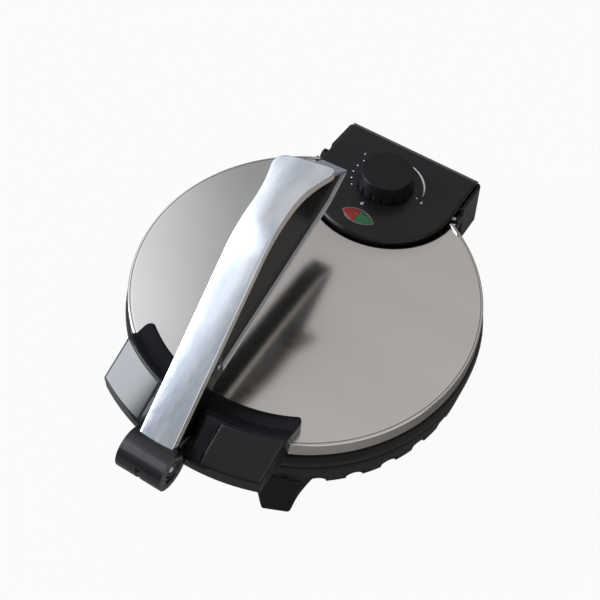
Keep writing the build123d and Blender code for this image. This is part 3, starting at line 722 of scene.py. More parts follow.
def grid_faces(rows: int, columns: int, around: bool = False) -> np.ndarray:
    """Quads of a grid whose points are numbered row by row.

    Args:
        rows: number of rows.
        columns: points in each row.
        around: whether each row closes into a ring.

    Returns:
        Array of quads.
    """
    i, j = np.meshgrid(np.arange(rows - 1), np.arange(columns if around else columns - 1), indexing="ij")
    along = (j + 1) % columns
    corners = [i * columns + j, i * columns + along, (i + 1) * columns + along, (i + 1) * columns + j]
    return np.stack(corners, axis=-1).reshape(-1, 4)


def put_grid(
    name: str, points: np.ndarray, around: bool = False, capped: bool = False, smooth: bool = True,
) -> bpy.types.Object:
    """Makes an object from a grid of points in millimetres and the quads between them.

    Args:
        name: name of the piece.
        points: array of rows of points, laid out from the lid's axis.
        around: whether each row closes into a ring.
        capped: whether the first and the last ring are filled with one face each.
        smooth: whether the faces are shaded smooth.

    Returns:
        The linked object, at the origin.
    """
    rows, columns = points.shape[:2]
    faces = grid_faces(rows, columns, around).tolist()
    if capped:
        ring = np.arange(columns)
        faces += [ring.tolist(), (ring + (rows - 1) * columns).tolist()]
    return put_mesh(name, points, faces, smooth)


def tidy_mesh(made: bpy.types.Object, merge: float = MERGE_NEW, sharp: float | None = None) -> None:
    """Merges doubled points, points the faces outwards and marks sharp edges.

    Args:
        made: object to tidy.
        merge: distance in metres within which points are one.
        sharp: angle in degrees beyond which an edge stays sharp, or None.
    """
    work = bmesh.new()
    work.from_mesh(made.data)
    bmesh.ops.remove_doubles(work, verts=work.verts, dist=merge)
    bmesh.ops.dissolve_degenerate(work, dist=merge, edges=work.edges)
    bmesh.ops.recalc_face_normals(work, faces=work.faces)
    for face in work.faces:
        face.smooth = True
    work.to_mesh(made.data)
    work.free()
    if sharp is not None:
        made.data.set_sharp_from_angle(angle=math.radians(sharp))


def thicken(made: bpy.types.Object, wall: float) -> None:
    """Gives a skin a wall on its inner side, by a live modifier.

    Args:
        made: the skin.
        wall: thickness in millimetres.
    """
    sheet = made.modifiers.new("sheet", "SOLIDIFY")
    sheet.thickness = wall * MM
    sheet.offset = -1.0


def dress(made: bpy.types.Object, body: Body, slot: Slot, finish: bpy.types.Material, *nodes: str) -> None:
    """Gives a new piece its body and finish, and hides what it stands for.

    Args:
        made: the new piece.
        body: body that it moves with.
        slot: material slot of the record; not used.
        finish: material shown on it.
        nodes: CAD nodes that it replaces.
    """
    made.data.materials.clear()
    made.data.materials.append(finish)
    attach(made, body.value)
    if nodes:
        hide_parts(*nodes)
    LOG.info("%s: %d faces on %s", made.name, len(made.data.polygons), body.value)


def smooth_copy(node: str, sharp: float) -> bpy.types.Object:
    """Copy of a CAD node with its points merged and its curved faces shaded smooth.

    Args:
        node: name of the CAD node.
        sharp: angle in degrees beyond which an edge stays sharp.

    Returns:
        The copy, which still has to be dressed.
    """
    made = bpy.data.objects.new(f"{node}_finished", frame["nodes"][node].data.copy())
    bpy.context.scene.collection.objects.link(made)
    tidy_mesh(made, MERGE_COPY, sharp)
    weighted = made.modifiers.new("even_shading", "WEIGHTED_NORMAL")
    weighted.keep_sharp = True
    weighted.weight = 100
    return made


# ---------------------------------------------------------------- lid
@dataclass
class SteelLid:
    """Crowned steel cover with a rolled rim, a groove and a lip round the control panel.

    The bite is the round cut-out that leaves room for the panel. The band is the wall that
    hangs from the rim.
    """

    radius: float = 150.0
    rim: float = 96.0
    crown: float = 3.0
    bite: float = 71.5
    bite_y: float = DIAL_Y
    edge_round: float = 1.5
    lip_round: float = 3.4
    lip_depth: float = 8.6
    band_depth: float = 14.8
    band_flare: float = 2.0
    band_start: float = 0.15
    groove_in: float = 2.3
    groove_half: float = 0.45
    groove_depth: float = 0.12
    groove_lead: float = 1.5
    gauge: float = 1.0
    around: int = 960
    lip_rows: int = 7
    sheet_rows: int = 12
    groove_rows: int = 9
    edge_rows: int = 8
    band_rows: int = 5

    def crown_height(self, reach: np.ndarray | float) -> np.ndarray | float:
        """Height of the sheet at a distance from the axis: a parabola that ends at the rim."""
        return self.rim + self.crown * (1 - (reach / self.radius) ** 2)

    def lip_profile(self) -> tuple[np.ndarray, np.ndarray]:
        """Profile of the lip: up its wall, then out in a quarter circle to the sheet.

        Returns:
            Distances from the middle of the bite, and depths below the sheet.
        """
        turn = np.linspace(0, QUARTER, self.lip_rows)[::-1]
        reach = self.bite + self.lip_round * (1 - np.sin(turn))
        drop = self.lip_round * (1 - np.cos(turn))
        return np.append(self.bite, reach), np.append(self.lip_depth, drop)

    def rim_profile(self) -> tuple[np.ndarray, np.ndarray]:
        """Profile of the rim, from just inside the groove to the foot of the band.

        The groove takes away half its depth times one plus the cosine of one wave. The edge is
        a quarter circle, and the band below it flares out evenly to its foot.

        Returns:
            Distances from the lid's axis, and heights.
        """
        wave = np.linspace(-1, 1, self.groove_rows)
        groove_r = self.radius - self.groove_in + wave * self.groove_half
        groove_z = self.crown_height(groove_r) - self.groove_depth * 0.5 * (1 + np.cos(math.pi * wave))
        turn = np.linspace(0, QUARTER, self.edge_rows)
        edge_r = self.radius - self.edge_round * (1 - np.sin(turn))
        edge_z = self.crown_height(self.radius - self.edge_round) - self.edge_round * (1 - np.cos(turn))
        fall = np.linspace(self.band_start, 1, self.band_rows)
        band_r = self.radius + fall * self.band_flare
        band_z = edge_z[-1] - fall * (edge_z[-1] - (self.rim - self.band_depth))
        start = self.radius - self.groove_in - self.groove_half - self.groove_lead
        reach = np.concatenate([[start], groove_r, edge_r, band_r])
        return reach, np.concatenate([[self.crown_height(start)], groove_z, edge_z, band_z])

    def skin(self) -> bpy.types.Object:
        """Sheet of the lid.

        Each column runs from the lip round the control panel straight to the rim. Its start
        lies on the bite's half circle and its end on the rim's long arc, which goes from horn
        to horn beside the bite. Both are cut into equal shares of angle, and points between
        them are the blend of the two ends. Heights follow the parabola of the crown. The lip
        turns down in a quarter circle towards the middle of the bite, and the rim follows its
        own profile outwards.

        Returns:
            The sheet with its wall thickness.
        """
        share = np.linspace(0, 1, self.around)
        horn = math.acos(self.bite / self.radius)
        lip_angle = math.pi * (1 + share)
        rim_angle = (math.pi - horn) + share * (math.pi + 2 * horn)
        lip_way = np.stack([np.cos(lip_angle), np.sin(lip_angle)], axis=1)
        rim_way = np.stack([np.cos(rim_angle), np.sin(rim_angle)], axis=1)
        inner, drop = self.lip_profile()
        outer, level = self.rim_profile()
        lip = np.array([0.0, self.bite_y]) + lip_way * inner[:, None, None]
        lip_reach = np.minimum(np.hypot(lip[..., 0], lip[..., 1]), self.radius)
        part = np.linspace(0, 1, self.sheet_rows + 2)[1:-1, None, None]
        sheet = lip[-1] + (rim_way * outer[0] - lip[-1]) * part
        rim = rim_way * outer[:, None, None]
        height = np.concatenate([
            self.crown_height(lip_reach) - drop[:, None],
            self.crown_height(np.hypot(sheet[..., 0], sheet[..., 1])),
            np.broadcast_to(level[:, None], rim.shape[:2]),
        ])
        made = put_grid("lid_skin", np.dstack([np.concatenate([lip, sheet, rim]), height]))
        tidy_mesh(made)
        thicken(made, self.gauge)
        return made

    def build(self, finishes: Finishes) -> None:
        """Builds the lid's cover in place of its CAD node."""
        dress(self.skin(), Body.LID, Slot.LID, finishes.by_slot[Slot.LID], "lid_cover")


# ---------------------------------------------------------------- lever
@dataclass
class LeverLine:
    """Top line and widths of the lever in its own frame, pivot at the origin.

    Pairs of values are for the left and the right side; start is how far back and up it begins.
    """

    pivot: Triple = (0.0, PIVOT_Y, 102.0)
    yaw: float = LEVER_YAW
    start: Span = (5.5, 12.5)
    rise: float = 35.2
    run: float = 145.0
    bend: float = 80.0
    head_rise: float = 9.0
    head_run: float = 50.0
    half: float = 14.2
    head_halves: Span = (22.5, 28.5)
    flares: Span = (2.0, 2.6)
    flare_start: float = 160.0
    tail_rounds: Span = (13.0, 6.0)
    slant: float = 0.14
    steps: int = 2000

    def length(self) -> float:
        """Length of the whole line: straight run, bend and head."""
        return self.run + self.bend * math.radians(self.rise - self.head_rise) + self.head_run

    def top(self, picked: np.ndarray) -> tuple[np.ndarray, np.ndarray]:
        """Points along the top line and the direction square to it.

        The heading stays at the first slope, turns evenly to the head's slope over the bend's
        arc and stays there; the points are the running sum of short steps along that heading.

        Args:
            picked: distances along the line.

        Returns:
            Points (back, up) and normals (back, up).
        """
        sweep = math.radians(self.rise - self.head_rise)
        fine = np.linspace(0, self.length(), self.steps)
        turned = np.clip((fine - self.run) / (self.bend * sweep), 0, 1) * sweep
        heading = math.radians(self.rise) - turned
        step = fine[1] - fine[0]
        back = self.start[0] + np.concatenate([[0], np.cumsum(np.cos(heading[:-1]) * step)])
        up = self.start[1] + np.concatenate([[0], np.cumsum(np.sin(heading[:-1]) * step)])
        spots = np.column_stack([np.interp(picked, fine, back), np.interp(picked, fine, up)])
        slope = np.interp(picked, fine, heading)
        return spots, np.column_stack([-np.sin(slope), np.cos(slope)])

    def head_share(self, back: np.ndarray) -> np.ndarray:
        """Share of the way from the start of the flare to the tail.

        Args:
            back: how far back each point lies.

        Returns:
            Shares from 0 to 1.
        """
        tail = float(self.top(np.array([self.length()]))[0][-1, 0])
        return np.clip((back - self.flare_start) / (tail - self.flare_start), 0, 1)

    def width(self, picked: np.ndarray, back: np.ndarray, side: Side) -> np.ndarray:
        """Half width: constant, then growing with a power of the way, its last corner round.

        The corner takes away its radius r less the root of r squared less the square of how
        far a point is inside it.

        Args:
            picked: distances along the line.
            back: how far back the same points lie.
            side: left or right half.

        Returns:
            Half widths.
        """
        corner, widest, flare = (
            pair[side is Side.RIGHT] for pair in (self.tail_rounds, self.head_halves, self.flares)
        )
        inside = np.clip(corner - (self.length() - picked), 0, corner)
        lost = corner - np.sqrt(corner ** 2 - inside ** 2)
        return self.half + (widest - self.half) * self.head_share(back) ** flare - lost

    def to_machine(self, points: np.ndarray) -> np.ndarray:
        """Turns points by the yaw and moves them to the pivot.

        Args:
            points: array whose last axis is (across, back, up).

        Returns:
            The same points laid out from the lid's axis.
        """
        angle = math.radians(self.yaw)
        across, back, up = points[..., 0], points[..., 1], points[..., 2]
        turned = np.stack([
            across * math.cos(angle) - back * math.sin(angle),
            across * math.sin(angle) + back * math.cos(angle),
            up,
        ], axis=-1)
        return turned + np.array(self.pivot)


@dataclass
class LeverShells:
    """Polished skin over a paler shell, crowned across, flared and cut aslant at the head."""

    line: LeverLine = field(default_factory=LeverLine)
    skin: float = 2.6
    shell: float = 5.3
    reveal: float = 0.15
    gap: float = 0.55
    crown: float = 0.9
    head_crown: float = 0.4
    skin_corner: float = 1.1
    shell_corner: float = 0.8
    first: float = 0.4
    rows: int = 110
    tail_rows: int = 12
    flat_points: int = 17
    corner_points: int = 6
    sharp: float = 50.0

    def ring(self, tall: float, corner: float) -> tuple[np.ndarray, np.ndarray, np.ndarray]:
        """Cross section of a layer: a rounded rectangle, numbered round from its upper left.

        The upper side runs to the right, then two quarter circles lead round the right edge by
        the sine and the cosine of even turns. The rest is the same, turned half round.

        Args:
            tall: thickness of the layer.
            corner: radius of its edges.

        Returns:
            Shares of the half width, distances added to them, and depths below the upper side.
        """
        turn = np.linspace(0, QUARTER, self.corner_points)
        flat = np.linspace(-1, 1, self.flat_points + 2)[1:-1] * (1 - corner / self.line.half)
        level = np.zeros(self.flat_points)
        share = np.concatenate([flat, np.ones(2 * self.corner_points)])
        bulge = corner * np.concatenate([level, np.sin(turn) - 1, np.cos(turn) - 1])
        sink = np.concatenate([level, corner * (1 - np.cos(turn)), tall - corner * (1 - np.sin(turn))])
        ends = ((share, -share), (bulge, -bulge), (sink, tall - sink))
        return tuple(np.concatenate(pair) for pair in ends)

    def layer(self, name: str, upper: float, lower: float, inset: float, corner: float) -> bpy.types.Object:
        """One layer between two depths under the top line.

        A closed rounded rectangle is carried along the top line, in rows that close up towards
        the tail by a sine. Across the lever each point sinks by the crown times the square of
        its share of the half width, and the crown changes towards the head. There the rings
        also slant: a point moves along the line by the slant times its distance from the middle.

        Args:
            name: name of the piece.
            upper: depth of its upper face.
            lower: depth of its lower face.
            inset: how far its edges lie inside the skin's.
            corner: radius of its edges.

        Returns:
            The layer as a closed piece.
        """
        total, tail = self.line.length(), max(self.line.tail_rounds)
        ease = np.sin(np.linspace(0, QUARTER, self.tail_rows + 1)[1:])
        even = np.linspace(self.first, total - tail, self.rows)
        picked = np.concatenate([even, total - tail * (1 - ease)])
        spots, normals = self.line.top(picked)
        left, right = (self.line.width(picked, spots[:, 0], side)[:, None] - inset for side in Side)
        share, bulge, sink = self.ring(lower - upper, corner)
        half = np.where(share < 0, left, right)
        across = share * half + bulge
        ahead = self.line.head_share(spots[:, :1]) ** 2
        crown = self.crown + (self.head_crown - self.crown) * ahead
        fall = upper + sink + crown * (across / half) ** 2
        shift = self.line.slant * across * ahead
        back = spots[:, :1] - normals[:, :1] * fall + shift * normals[:, 1:]
        high = spots[:, 1:] - normals[:, 1:] * fall - shift * normals[:, :1]
        points = self.line.to_machine(np.stack([across, back, high], axis=-1))
        made = put_grid(name, points, around=True, capped=True)
        tidy_mesh(made, sharp=self.sharp)
        return made

    def build(self, finishes: Finishes) -> None:
        """Builds both layers in place of their CAD nodes.

        Args:
            finishes: the machine's finishes.
        """
        top = self.layer("lever_skin", 0.0, self.skin, 0.0, self.skin_corner)
        dress(top, Body.LEVER, Slot.LEVER, finishes.by_slot[Slot.LEVER], "lever_top_shell")
        upper, lower = self.skin + self.gap, self.skin + self.shell
        low = self.layer("lever_shell_body", upper, lower, self.reveal, self.shell_corner)
        dress(low, Body.LEVER, Slot.SHELL, finishes.by_slot[Slot.SHELL], "lever_lower_shell")


@dataclass
class BarrelEnds:
    """Stepped caps in both ends of the barrel, each round a bright pin head.

    Both outlines are points (radius, depth below the end face), from the middle outwards.
    """

    line: LeverLine = field(default_factory=LeverLine)
    face: float = 18.8
    cap: tuple[Span, ...] = (
        (0.0, 1.9), (3.2, 1.9), (3.6, 1.2), (5.4, 1.2), (5.8, 1.8), (6.4, 1.8), (6.8, 0.9),
        (8.3, 0.75), (8.8, 1.1), (9.0, 1.6), (9.0, 2.1), (0.0, 2.1),
    )
    pin_head: tuple[Span, ...] = ((0.0, 0.7), (1.2, 0.8), (2.0, 1.1), (2.4, 1.5), (2.4, 1.85), (0.0, 1.85))
    around: int = 72
    sharp: float = 35.0

    def turned(self, name: str, outline: tuple[Span, ...]) -> bpy.types.Object:
        """Turns an outline about the pivot at both ends.

        Each of its points becomes a circle: radius times cosine back, radius times sine up.

        Args:
            name: name of the piece.
            outline: the outline.

        Returns:
            Both ends as one piece.
        """
        turn = np.linspace(0, 2 * math.pi, self.around, endpoint=False)
        radius, depth = np.array(outline).T[:, :, None]
        end = np.array([Side.LEFT.value, Side.RIGHT.value])[:, None, None]
        points = np.stack(np.broadcast_arrays(
            end * (self.face - depth), radius * np.cos(turn), radius * np.sin(turn),
        ), axis=-1)
        faces = grid_faces(len(outline), self.around, around=True)
        both = np.concatenate([faces, faces + len(outline) * self.around])
        made = put_mesh(name, self.line.to_machine(points), both.tolist())
        tidy_mesh(made, sharp=self.sharp)
        return made

    def build(self, finishes: Finishes) -> None:
        """Builds the caps and the pin heads in place of the CAD caps.

        Args:
            finishes: the machine's finishes.
        """
        caps = self.turned("barrel_end_caps", self.cap)
        dress(caps, Body.LEVER, Slot.GLOSS, finishes.by_slot[Slot.GLOSS], "lever_caps")
        heads = self.turned("pin_heads", self.pin_head)
        dress(heads, Body.LEVER, Slot.TRIM, finishes.by_slot[Slot.TRIM])


# ---------------------------------------------------------------- handle
@dataclass
class GripPads:
    """Glossy pads that cover the two sloping grips, their edges rolled over.

    The grip's cone goes from the top to the foot between the two distances in cone.
    """

    inner: float = 154.0
    outer: float = 182.8
    near: float = 28.0
    far: float = 73.1
    top: float = 114.8
    foot: float = 97.5
    cone: Span = (153.5, 183.0)
    lift: float = 0.30
    sunk: float = 0.9
    roll: float = 1.6
    gauge: float = 0.8
    steps: int = 40

    def pad(self, side: Side) -> bpy.types.Object:
        """One pad on a grid of distance from the axis and distance from the middle plane.

        The grip is a cone: its height falls evenly with the distance. The pad stands off it,
        and within the roll's width of its nearest edge it sinks in a quarter round, which
        gives the rolled border. Rows close up towards the edges: the share of the way is half
        of one minus the cosine of an even turn.

        Args:
            side: left or right pad.

        Returns:
            The pad with its thickness.
        """
        share = 0.5 - 0.5 * np.cos(np.linspace(0, math.pi, self.steps))
        reach, across = np.meshgrid(
            self.inner + share * (self.outer - self.inner), self.near + share * (self.far - self.near),
            indexing="ij",
        )
        to_edge = np.minimum.reduce([
            reach - self.inner, self.outer - reach, across - self.near, self.far - across,
        ])
        within = np.clip(1 - to_edge / self.roll, 0, 1)
        stand = self.lift - (self.lift + self.sunk) * (1 - np.sqrt(1 - within ** 2))
        slope = (self.top - self.foot) / (self.cone[1] - self.cone[0])
        level = self.top - slope * (reach - self.cone[0]) + stand
        points = np.stack([side.value * across, -np.sqrt(reach ** 2 - across ** 2), level], axis=-1)
        made = put_grid(f"grip_skin_{side.name.lower()}", points)
        tidy_mesh(made)
        thicken(made, self.gauge)
        return made

    def build(self, finishes: Finishes) -> None:
        """Builds both pads in place of the CAD pads.

        Args:
            finishes: the machine's finishes.
        """
        for side in Side:
            dress(self.pad(side), Body.LID, Slot.GLOSS, finishes.by_slot[Slot.GLOSS],
                  f"grip_pad_{side.name.lower()}")


# ---------------------------------------------------------------- control panel
@dataclass
class DialMarks:
    """Printed marks round the thermostat knob: dots, a swelling arc and plain figures.

    Rings are distances from the dial's axis and bearings are degrees from X about it. A figure
    is its text, and where its base line starts to the right and to the back.
    """

    face: float = 102.13
    dot: float = 0.75
    dot_points: int = 14
    dot_rings: Span = (35.5, 31.4)
    dot_bearings: Span = (155.0, 215.0)
    dot_count: int = 5
    last_dot: Span = (32.5, 3.5)
    arc_ring: float = 36.6
    arc_bearings: Span = (80.0, 11.0)
    arc_thin: float = 0.12
    arc_half: float = 0.75
    arc_steps: int = 60
    figure_size: float = 5.0
    figures: tuple[tuple[str, float, float], ...] = (
        ("1", -37.5, 153.0), ("6", 37.5, 129.0), ("0", -6.5, 96.0),
    )

    def dots(self) -> bpy.types.Object:
        """Small discs along a spiral round the dial and one at the arc's end.

        A dot's ring and bearing go evenly from the first to the last; each disc is a circle of
        points about its place, filled by a fan of triangles.

        Returns:
            The dots as one piece.
        """
        ring = np.append(np.linspace(*self.dot_rings, self.dot_count), self.last_dot[0])
        bearing = np.radians(np.append(np.linspace(*self.dot_bearings, self.dot_count), self.last_dot[1]))
        turn = np.linspace(0, 2 * math.pi, self.dot_points, endpoint=False)
        x = (ring * np.cos(bearing))[:, None] + self.dot * np.cos(turn)
        y = DIAL_Y + (ring * np.sin(bearing))[:, None] + self.dot * np.sin(turn)
        points = np.stack([x, y, np.full_like(x, self.face)], axis=-1)
        second = np.arange(1, self.dot_points - 1)
        fan = np.stack([np.zeros_like(second), second, second + 1], axis=1)
        faces = fan + self.dot_points * np.arange(len(ring))[:, None, None]
        return put_mesh("dial_dots", points, faces.reshape(-1, 3).tolist(), smooth=False)

    def arc(self) -> bpy.types.Object:
        """Arc band: its half width is thin plus the sine of the share of the way along it.

        Returns:
            The band.
        """
        share = np.linspace(0, 1, self.arc_steps)
        bearing = np.radians(self.arc_bearings[0] + share * (self.arc_bearings[1] - self.arc_bearings[0]))
        half = self.arc_thin + self.arc_half * np.sin(math.pi * share)
        reach = self.arc_ring + np.outer([1.0, -1.0], half)
        points = np.stack([
            reach * np.cos(bearing), DIAL_Y + reach * np.sin(bearing), np.full_like(reach, self.face),
        ], axis=-1)
        return put_grid("dial_arc", points, smooth=False)

    def figure(self, text: str, x: float, y: float) -> bpy.types.Object:
        """A printed figure, its outline filled with flat faces.

        Args:
            text: the figure.
            x: left end of its base line.
            y: how far back its base line lies.

        Returns:
            The figure as a mesh.
        """
        curve = bpy.data.curves.new(f"figure_{text}", "FONT")
        curve.body = text
        curve.size = self.figure_size
        curve.resolution_u = 3
        holder = bpy.data.objects.new(f"figure_{text}_outline", curve)
        mesh = bpy.data.meshes.new_from_object(holder)
        flat = np.empty(len(mesh.vertices) * 3)
        mesh.vertices.foreach_get("co", flat)
        points = (flat.reshape(-1, 3) + np.array([x, y + AXIS_Y, self.face])) * MM
        mesh.vertices.foreach_set("co", points.ravel())
        mesh.update()
        bpy.data.objects.remove(holder)
        made = bpy.data.objects.new(f"figure_{text}", mesh)
        bpy.context.scene.collection.objects.link(made)
        return made

    def build(self, finishes: Finishes) -> None:
        """Prints every mark on the panel."""
        for made in (self.dots(), self.arc(), *(self.figure(*each) for each in self.figures)):
            dress(made, Body.BASE, Slot.PANEL, finishes.ink)


@dataclass
class Knob:
    """Thermostat knob: a tapered drum with a flat top and a ring of teardrop grip notches."""

    foot: float = 102.7
    tall: float = 17.5
    radius: float = 26.8
    top_radius: float = 23.4
    skirt: float = 3.0
    foot_break: float = 0.3
    edge: float = 0.9
    wall: float = 2.4
    rim_width: float = 1.2
    dish_radius: float = 8.0
    dish_depth: float = 0.02
    notches: int = 16
    notch_depth: float = 1.3
    notch_half: float = 3.6
    notch_tall: float = 8.5
    around: int = 480
    edge_rows: int = 5
    taper_rows: int = 14
    sharp: float = 40.0

    def outline(self) -> tuple[np.ndarray, np.ndarray]:
        """Outline from the roof of the hollow down, up the skirt and in to the middle of the top.

        The taper is straight, the edge above it is a quarter circle, and the top dips a trace.

        Returns:
            Distances from the dial's axis, and heights above the foot.
        """
        turn = np.linspace(0, QUARTER, self.edge_rows + 1)[1:]
        taper = np.linspace(0, 1, self.taper_rows)
        shoulder, roof = self.tall - self.edge, self.tall - self.wall
        inner, dish = self.top_radius - self.wall, self.tall - self.dish_depth
        reach = np.concatenate([
            [0.0, inner, inner, self.radius - self.foot_break, self.radius],
            self.radius - (self.radius - self.top_radius - self.edge) * taper,
            self.top_radius + self.edge * np.cos(turn),
            [self.top_radius - self.rim_width, self.dish_radius, 0.0],
        ])
        level = np.concatenate([
            [roof, roof, 0.0, 0.0, self.foot_break],
            self.skirt + (shoulder - self.skirt) * taper,
            shoulder + self.edge * np.sin(turn),
            [self.tall, dish, dish],
        ])
        return reach, level

    def drum(self) -> bpy.types.Object:
        """The drum: its outline turned about the dial's axis, less the notches.

        Each notch takes away its depth times a bell in bearing and an upright half ellipse:
        exp(-(bearing / half)^4), in degrees, times sqrt(1 - (height / notch height)^2).

        Returns:
            The drum, open below like a cup.
        """
        reach, level = self.outline()
        bearing = np.linspace(0, 2 * math.pi, self.around, endpoint=False)
        pitch = 2 * math.pi / self.notches
        off = np.degrees((bearing + pitch / 2) % pitch - pitch / 2)
        bell = np.exp(-(off / self.notch_half) ** 4)
        upright = np.sqrt(np.clip(1 - (level / self.notch_tall) ** 2, 0, 1)) * (reach > self.top_radius)
        radius = reach[:, None] - self.notch_depth * upright[:, None] * bell
        points = np.stack([
            radius * np.cos(bearing), DIAL_Y + radius * np.sin(bearing),
            self.foot + level[:, None] + 0 * bearing,
        ], axis=-1)
        made = put_grid("knob_drum", points, around=True)
        tidy_mesh(made, sharp=self.sharp)
        return made

    def build(self, finishes: Finishes) -> None:
        """Builds the knob in place of the CAD knob and its cap."""
        dress(self.drum(), Body.KNOB, Slot.PANEL, finishes.by_slot[Slot.PANEL],
              "thermostat_knob", "knob_cap")


@dataclass
class PilotLenses:
    """Two halves of a boat-shaped lens, slightly domed, red to the left and green to the right."""

    centre: Span = (0.0, 82.0)
    half: float = 15.4
    rise: float = 7.4
    split: float = 0.5
    foot: float = 99.0
    face: float = 102.7
    dome: float = 0.7
    edge_drop: float = 0.3
    tip: float = 0.02
    rows: int = 24
    columns: int = 17
    sharp: float = 40.0

    def lens(self, side: Side) -> bpy.types.Object:
        """One half: rows along the boat, each as wide as the arc allows there.

        The arc's radius is (half^2 + rise^2) / (2 rise). The height is the face plus the dome
        times one minus the square of both shares, and each row's two ends stand lower.

        Args:
            side: left or right half.

        Returns:
            The lens, closed down to its foot.
        """
        x = np.linspace(self.split, self.half, self.rows)[:, None]
        across = np.linspace(-1, 1, self.columns)
        radius = (self.half ** 2 + self.rise ** 2) / (2 * self.rise)
        width = np.maximum(np.sqrt(radius ** 2 - x ** 2) - (radius - self.rise), self.tip)
        top = self.face + self.dome * (1 - across ** 2) * (1 - (x / self.half) ** 2)
        top[:, [0, -1]] = self.face - self.edge_drop
        grid = np.stack([
            self.centre[0] + side.value * (x + 0 * across), self.centre[1] + width * across, top,
        ], axis=-1)
        low = grid[:, [-1, 0]].copy()
        low[..., 2] = self.foot
        rings = np.concatenate([grid, low], axis=1)
        made = put_grid(f"lens_{side.name.lower()}", rings, around=True, capped=True)
        tidy_mesh(made, sharp=self.sharp)
        return made

    def build(self, finishes: Finishes) -> None:
        """Builds both halves in place of the CAD lenses."""
        dress(self.lens(Side.LEFT), Body.BASE, Slot.RED, finishes.by_slot[Slot.RED], "red_lens")
        dress(self.lens(Side.RIGHT), Body.BASE, Slot.GREEN, finishes.by_slot[Slot.GREEN], "green_lens")


# ---------------------------------------------------------------- carried-over nodes
@dataclass
class CaseWork:
    """Nodes whose CAD shape is right: merged copies with smooth curves and a finish each."""

    sharp: float = 28.0

    def build(self, finishes: Finishes) -> None:
        """Dresses every CAD node that nothing else stands for.

        Args:
            finishes: the machine's finishes.
        """
        record = frame["record"]
        slots = {entry["node"]: Slot(entry["material_slot"]) for entry in record["subparts"]}
        owner = {node: body for body, nodes in record["behaviour"]["bodies"].items() for node in nodes}
        for node, shown in frame["nodes"].items():
            if shown.hide_render:
                continue
            slot = slots[node]
            finish = finishes.by_node.get(node, finishes.by_slot[slot])
            dress(smooth_copy(node, self.sharp), Body(owner[node]), slot, finish, node)


# ---------------------------------------------------------------- studio
@dataclass(frozen=True)
class Spot:
    """Soft round light in the surroundings, about a direction.

    It is full within one cosine of its middle and gone beyond another.
    """

    middle: Triple
    gone: float
    full: float
    colour: Colour


class Sky(NodeWork):
    """Node tree of the surrounding light under construction."""

    def __init__(self, tree: bpy.types.NodeTree) -> None:
        """Empties the tree and finds the direction looked in.

        Args:
            tree: the world's node tree.
        """
        super().__init__(tree)
        self.direction = self.node("ShaderNodeTexCoord").outputs["Generated"]

    def base(self, heights: Span, under: Colour, over: Colour) -> Socket:
        """Light that goes from one colour to another between two heights of the direction."""
        return self.blend(self.part(self.direction, "Z"), heights, under, over)

    def spot(self, spot: Spot) -> Socket:
        """Light of one spot: its colour times a smooth step of the cosine to its middle.

        Args:
            spot: the spot.

        Returns:
            The spot's colour in each direction.
        """
        facing = self.node("ShaderNodeVectorMath", operation="DOT_PRODUCT")
        self.link(self.direction, facing.inputs[0])
        facing.inputs[1].default_value = tuple(Vector(spot.middle).normalized())
        strength = self.carry(facing.outputs["Value"], (spot.gone, spot.full), (0.0, 1.0))
        scaled = self.node("ShaderNodeVectorMath", operation="SCALE")
        scaled.inputs[0].default_value = spot.colour
        self.link(strength, scaled.inputs["Scale"])
        return scaled.outputs["Vector"]

    def add(self, first: Socket, second: Socket) -> Socket:
        """Sum of two lights.

        Args:
            first: one light.
            second: the other light.

        Returns:
            Their sum.
        """
        total = self.node("ShaderNodeVectorMath", operation="ADD")
        self.link(first, total.inputs[0])
        self.link(second, total.inputs[1])
        return total.outputs["Vector"]

    def finish(self, light: Socket) -> None:
        """Shows the light to the object and plain white to the camera.

        Args:
            light: the whole light in each direction.
        """
        lit = self.node("ShaderNodeBackground")
        self.link(light, lit.inputs["Color"])
        white = self.node("ShaderNodeBackground")
        white.inputs["Color"].default_value = WHITE
        out = self.node("ShaderNodeOutputWorld")
        self.link(self.for_camera(lit.outputs[0], white.outputs[0]), out.inputs["Surface"])


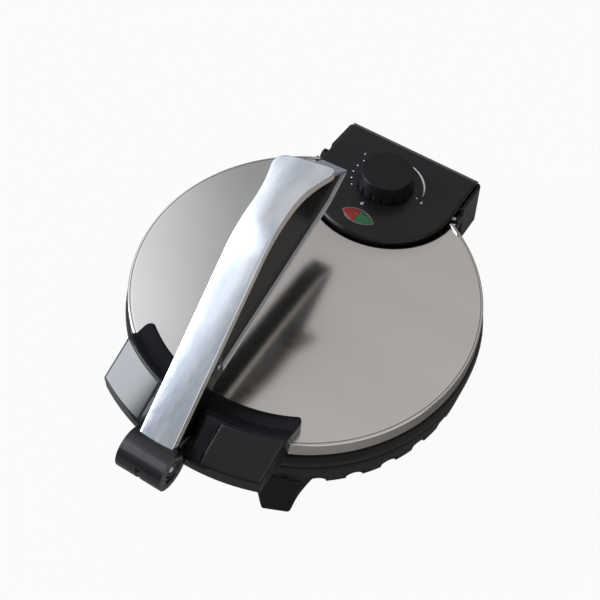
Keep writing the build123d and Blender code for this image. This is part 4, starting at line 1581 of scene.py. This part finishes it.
@dataclass
class Studio:
    """Pale floor, surrounding light, a soft lamp and the camera with its three axes."""

    camera_at: Triple = (179.37, -304.14, 574.8)
    right: Triple = (0.8258728, 0.5626921, 0.0362174)
    up: Triple = (-0.4800074, 0.6679069, 0.5687647)
    back: Triple = (0.2958496, -0.4871119, 0.8217025)
    focal: float = 42.0
    sensor: float = 36.0
    floor_half: float = 4000.0
    heights: Span = (0.25, 0.80)
    low_light: Colour = (0.16, 0.17, 0.19)
    high_light: Colour = (0.50, 0.51, 0.54)
    # Softbox, small bright window and pale wall to the left, and a dim warm glow behind.
    spots: tuple[Spot, ...] = (
        Spot((-0.52, -0.38, 0.765), 0.865, 0.965, (0.86, 0.91, 0.98)),
        Spot((-0.80, -0.45, 0.40), 0.930, 0.975, (9.0, 9.4, 10.0)),
        Spot((-0.87, -0.02, 0.49), 0.71, 0.90, (0.80, 0.84, 0.90)),
        Spot((0.20, 0.55, 0.81), 0.70, 1.0, (0.16, 0.13, 0.10)),
    )
    lamp_at: Triple = (1100.0, -500.0, 420.0)
    lamp_aim: Triple = (0.0, 0.0, 80.0)
    lamp_side: float = 1400.0
    lamp_watts: float = 3.5

    def camera(self) -> None:
        """Sets the camera from its place and its three axes."""
        data = bpy.data.cameras.new("camera")
        data.lens = self.focal
        data.sensor_width = self.sensor
        made = bpy.data.objects.new("camera", data)
        axes = Matrix((self.right, self.up, self.back)).transposed().to_4x4()
        at = Vector(self.camera_at) + Vector((0.0, AXIS_Y, 0.0))
        made.matrix_world = Matrix.Translation(at * MM) @ axes
        bpy.context.scene.collection.objects.link(made)
        bpy.context.scene.camera = made

    def floor(self) -> None:
        """Square floor that keeps a faint shadow and shows nearly plain white to the camera."""
        corners = np.array([[-1.0, -1.0, 0.0], [1.0, -1.0, 0.0], [1.0, 1.0, 0.0], [-1.0, 1.0, 0.0]])
        made = put_mesh("floor", corners * self.floor_half, [[0, 1, 2, 3]], smooth=False)
        made.data.materials.append(FloorPaint().build())

    def world(self) -> None:
        """Surrounding light, which only the object sees; the camera sees plain white instead.

        The light in a direction is the sum of a base, which goes from one colour to another
        between two heights above the horizon, and the spots.
        """
        world = bpy.data.worlds.new("studio")
        world.use_nodes = True
        bpy.context.scene.world = world
        sky = Sky(world.node_tree)
        light = sky.base(self.heights, self.low_light, self.high_light)
        for spot in self.spots:
            light = sky.add(light, sky.spot(spot))
        sky.finish(light)

    def lamp(self) -> None:
        """Square lamp low to the right that fills the shaded side."""
        data = bpy.data.lights.new("fill_right", "AREA")
        data.shape = "RECTANGLE"
        data.size = data.size_y = self.lamp_side * MM
        data.energy = self.lamp_watts
        made = bpy.data.objects.new("fill_right", data)
        made.location = Vector(self.lamp_at) * MM
        made.rotation_mode = "QUATERNION"
        made.rotation_quaternion = (Vector(self.lamp_aim) - Vector(self.lamp_at)).to_track_quat("-Z", "Y")
        bpy.context.scene.collection.objects.link(made)

    def build(self) -> None:
        """Sets up the camera, the floor, the surrounding light and the lamp."""
        bpy.context.scene.view_settings.view_transform = "Standard"
        self.camera()
        self.floor()
        self.world()
        self.lamp()


def main() -> None:
    """Builds the machine piece by piece, then the studio."""
    logging.basicConfig(level=logging.INFO, format="%(name)s: %(message)s")
    finishes = Finishes()
    SteelLid().build(finishes)
    LeverShells().build(finishes)
    BarrelEnds().build(finishes)
    GripPads().build(finishes)
    DialMarks().build(finishes)
    Knob().build(finishes)
    PilotLenses().build(finishes)
    CaseWork().build(finishes)
    Studio().build()


if __name__ == "__main__":
    main()
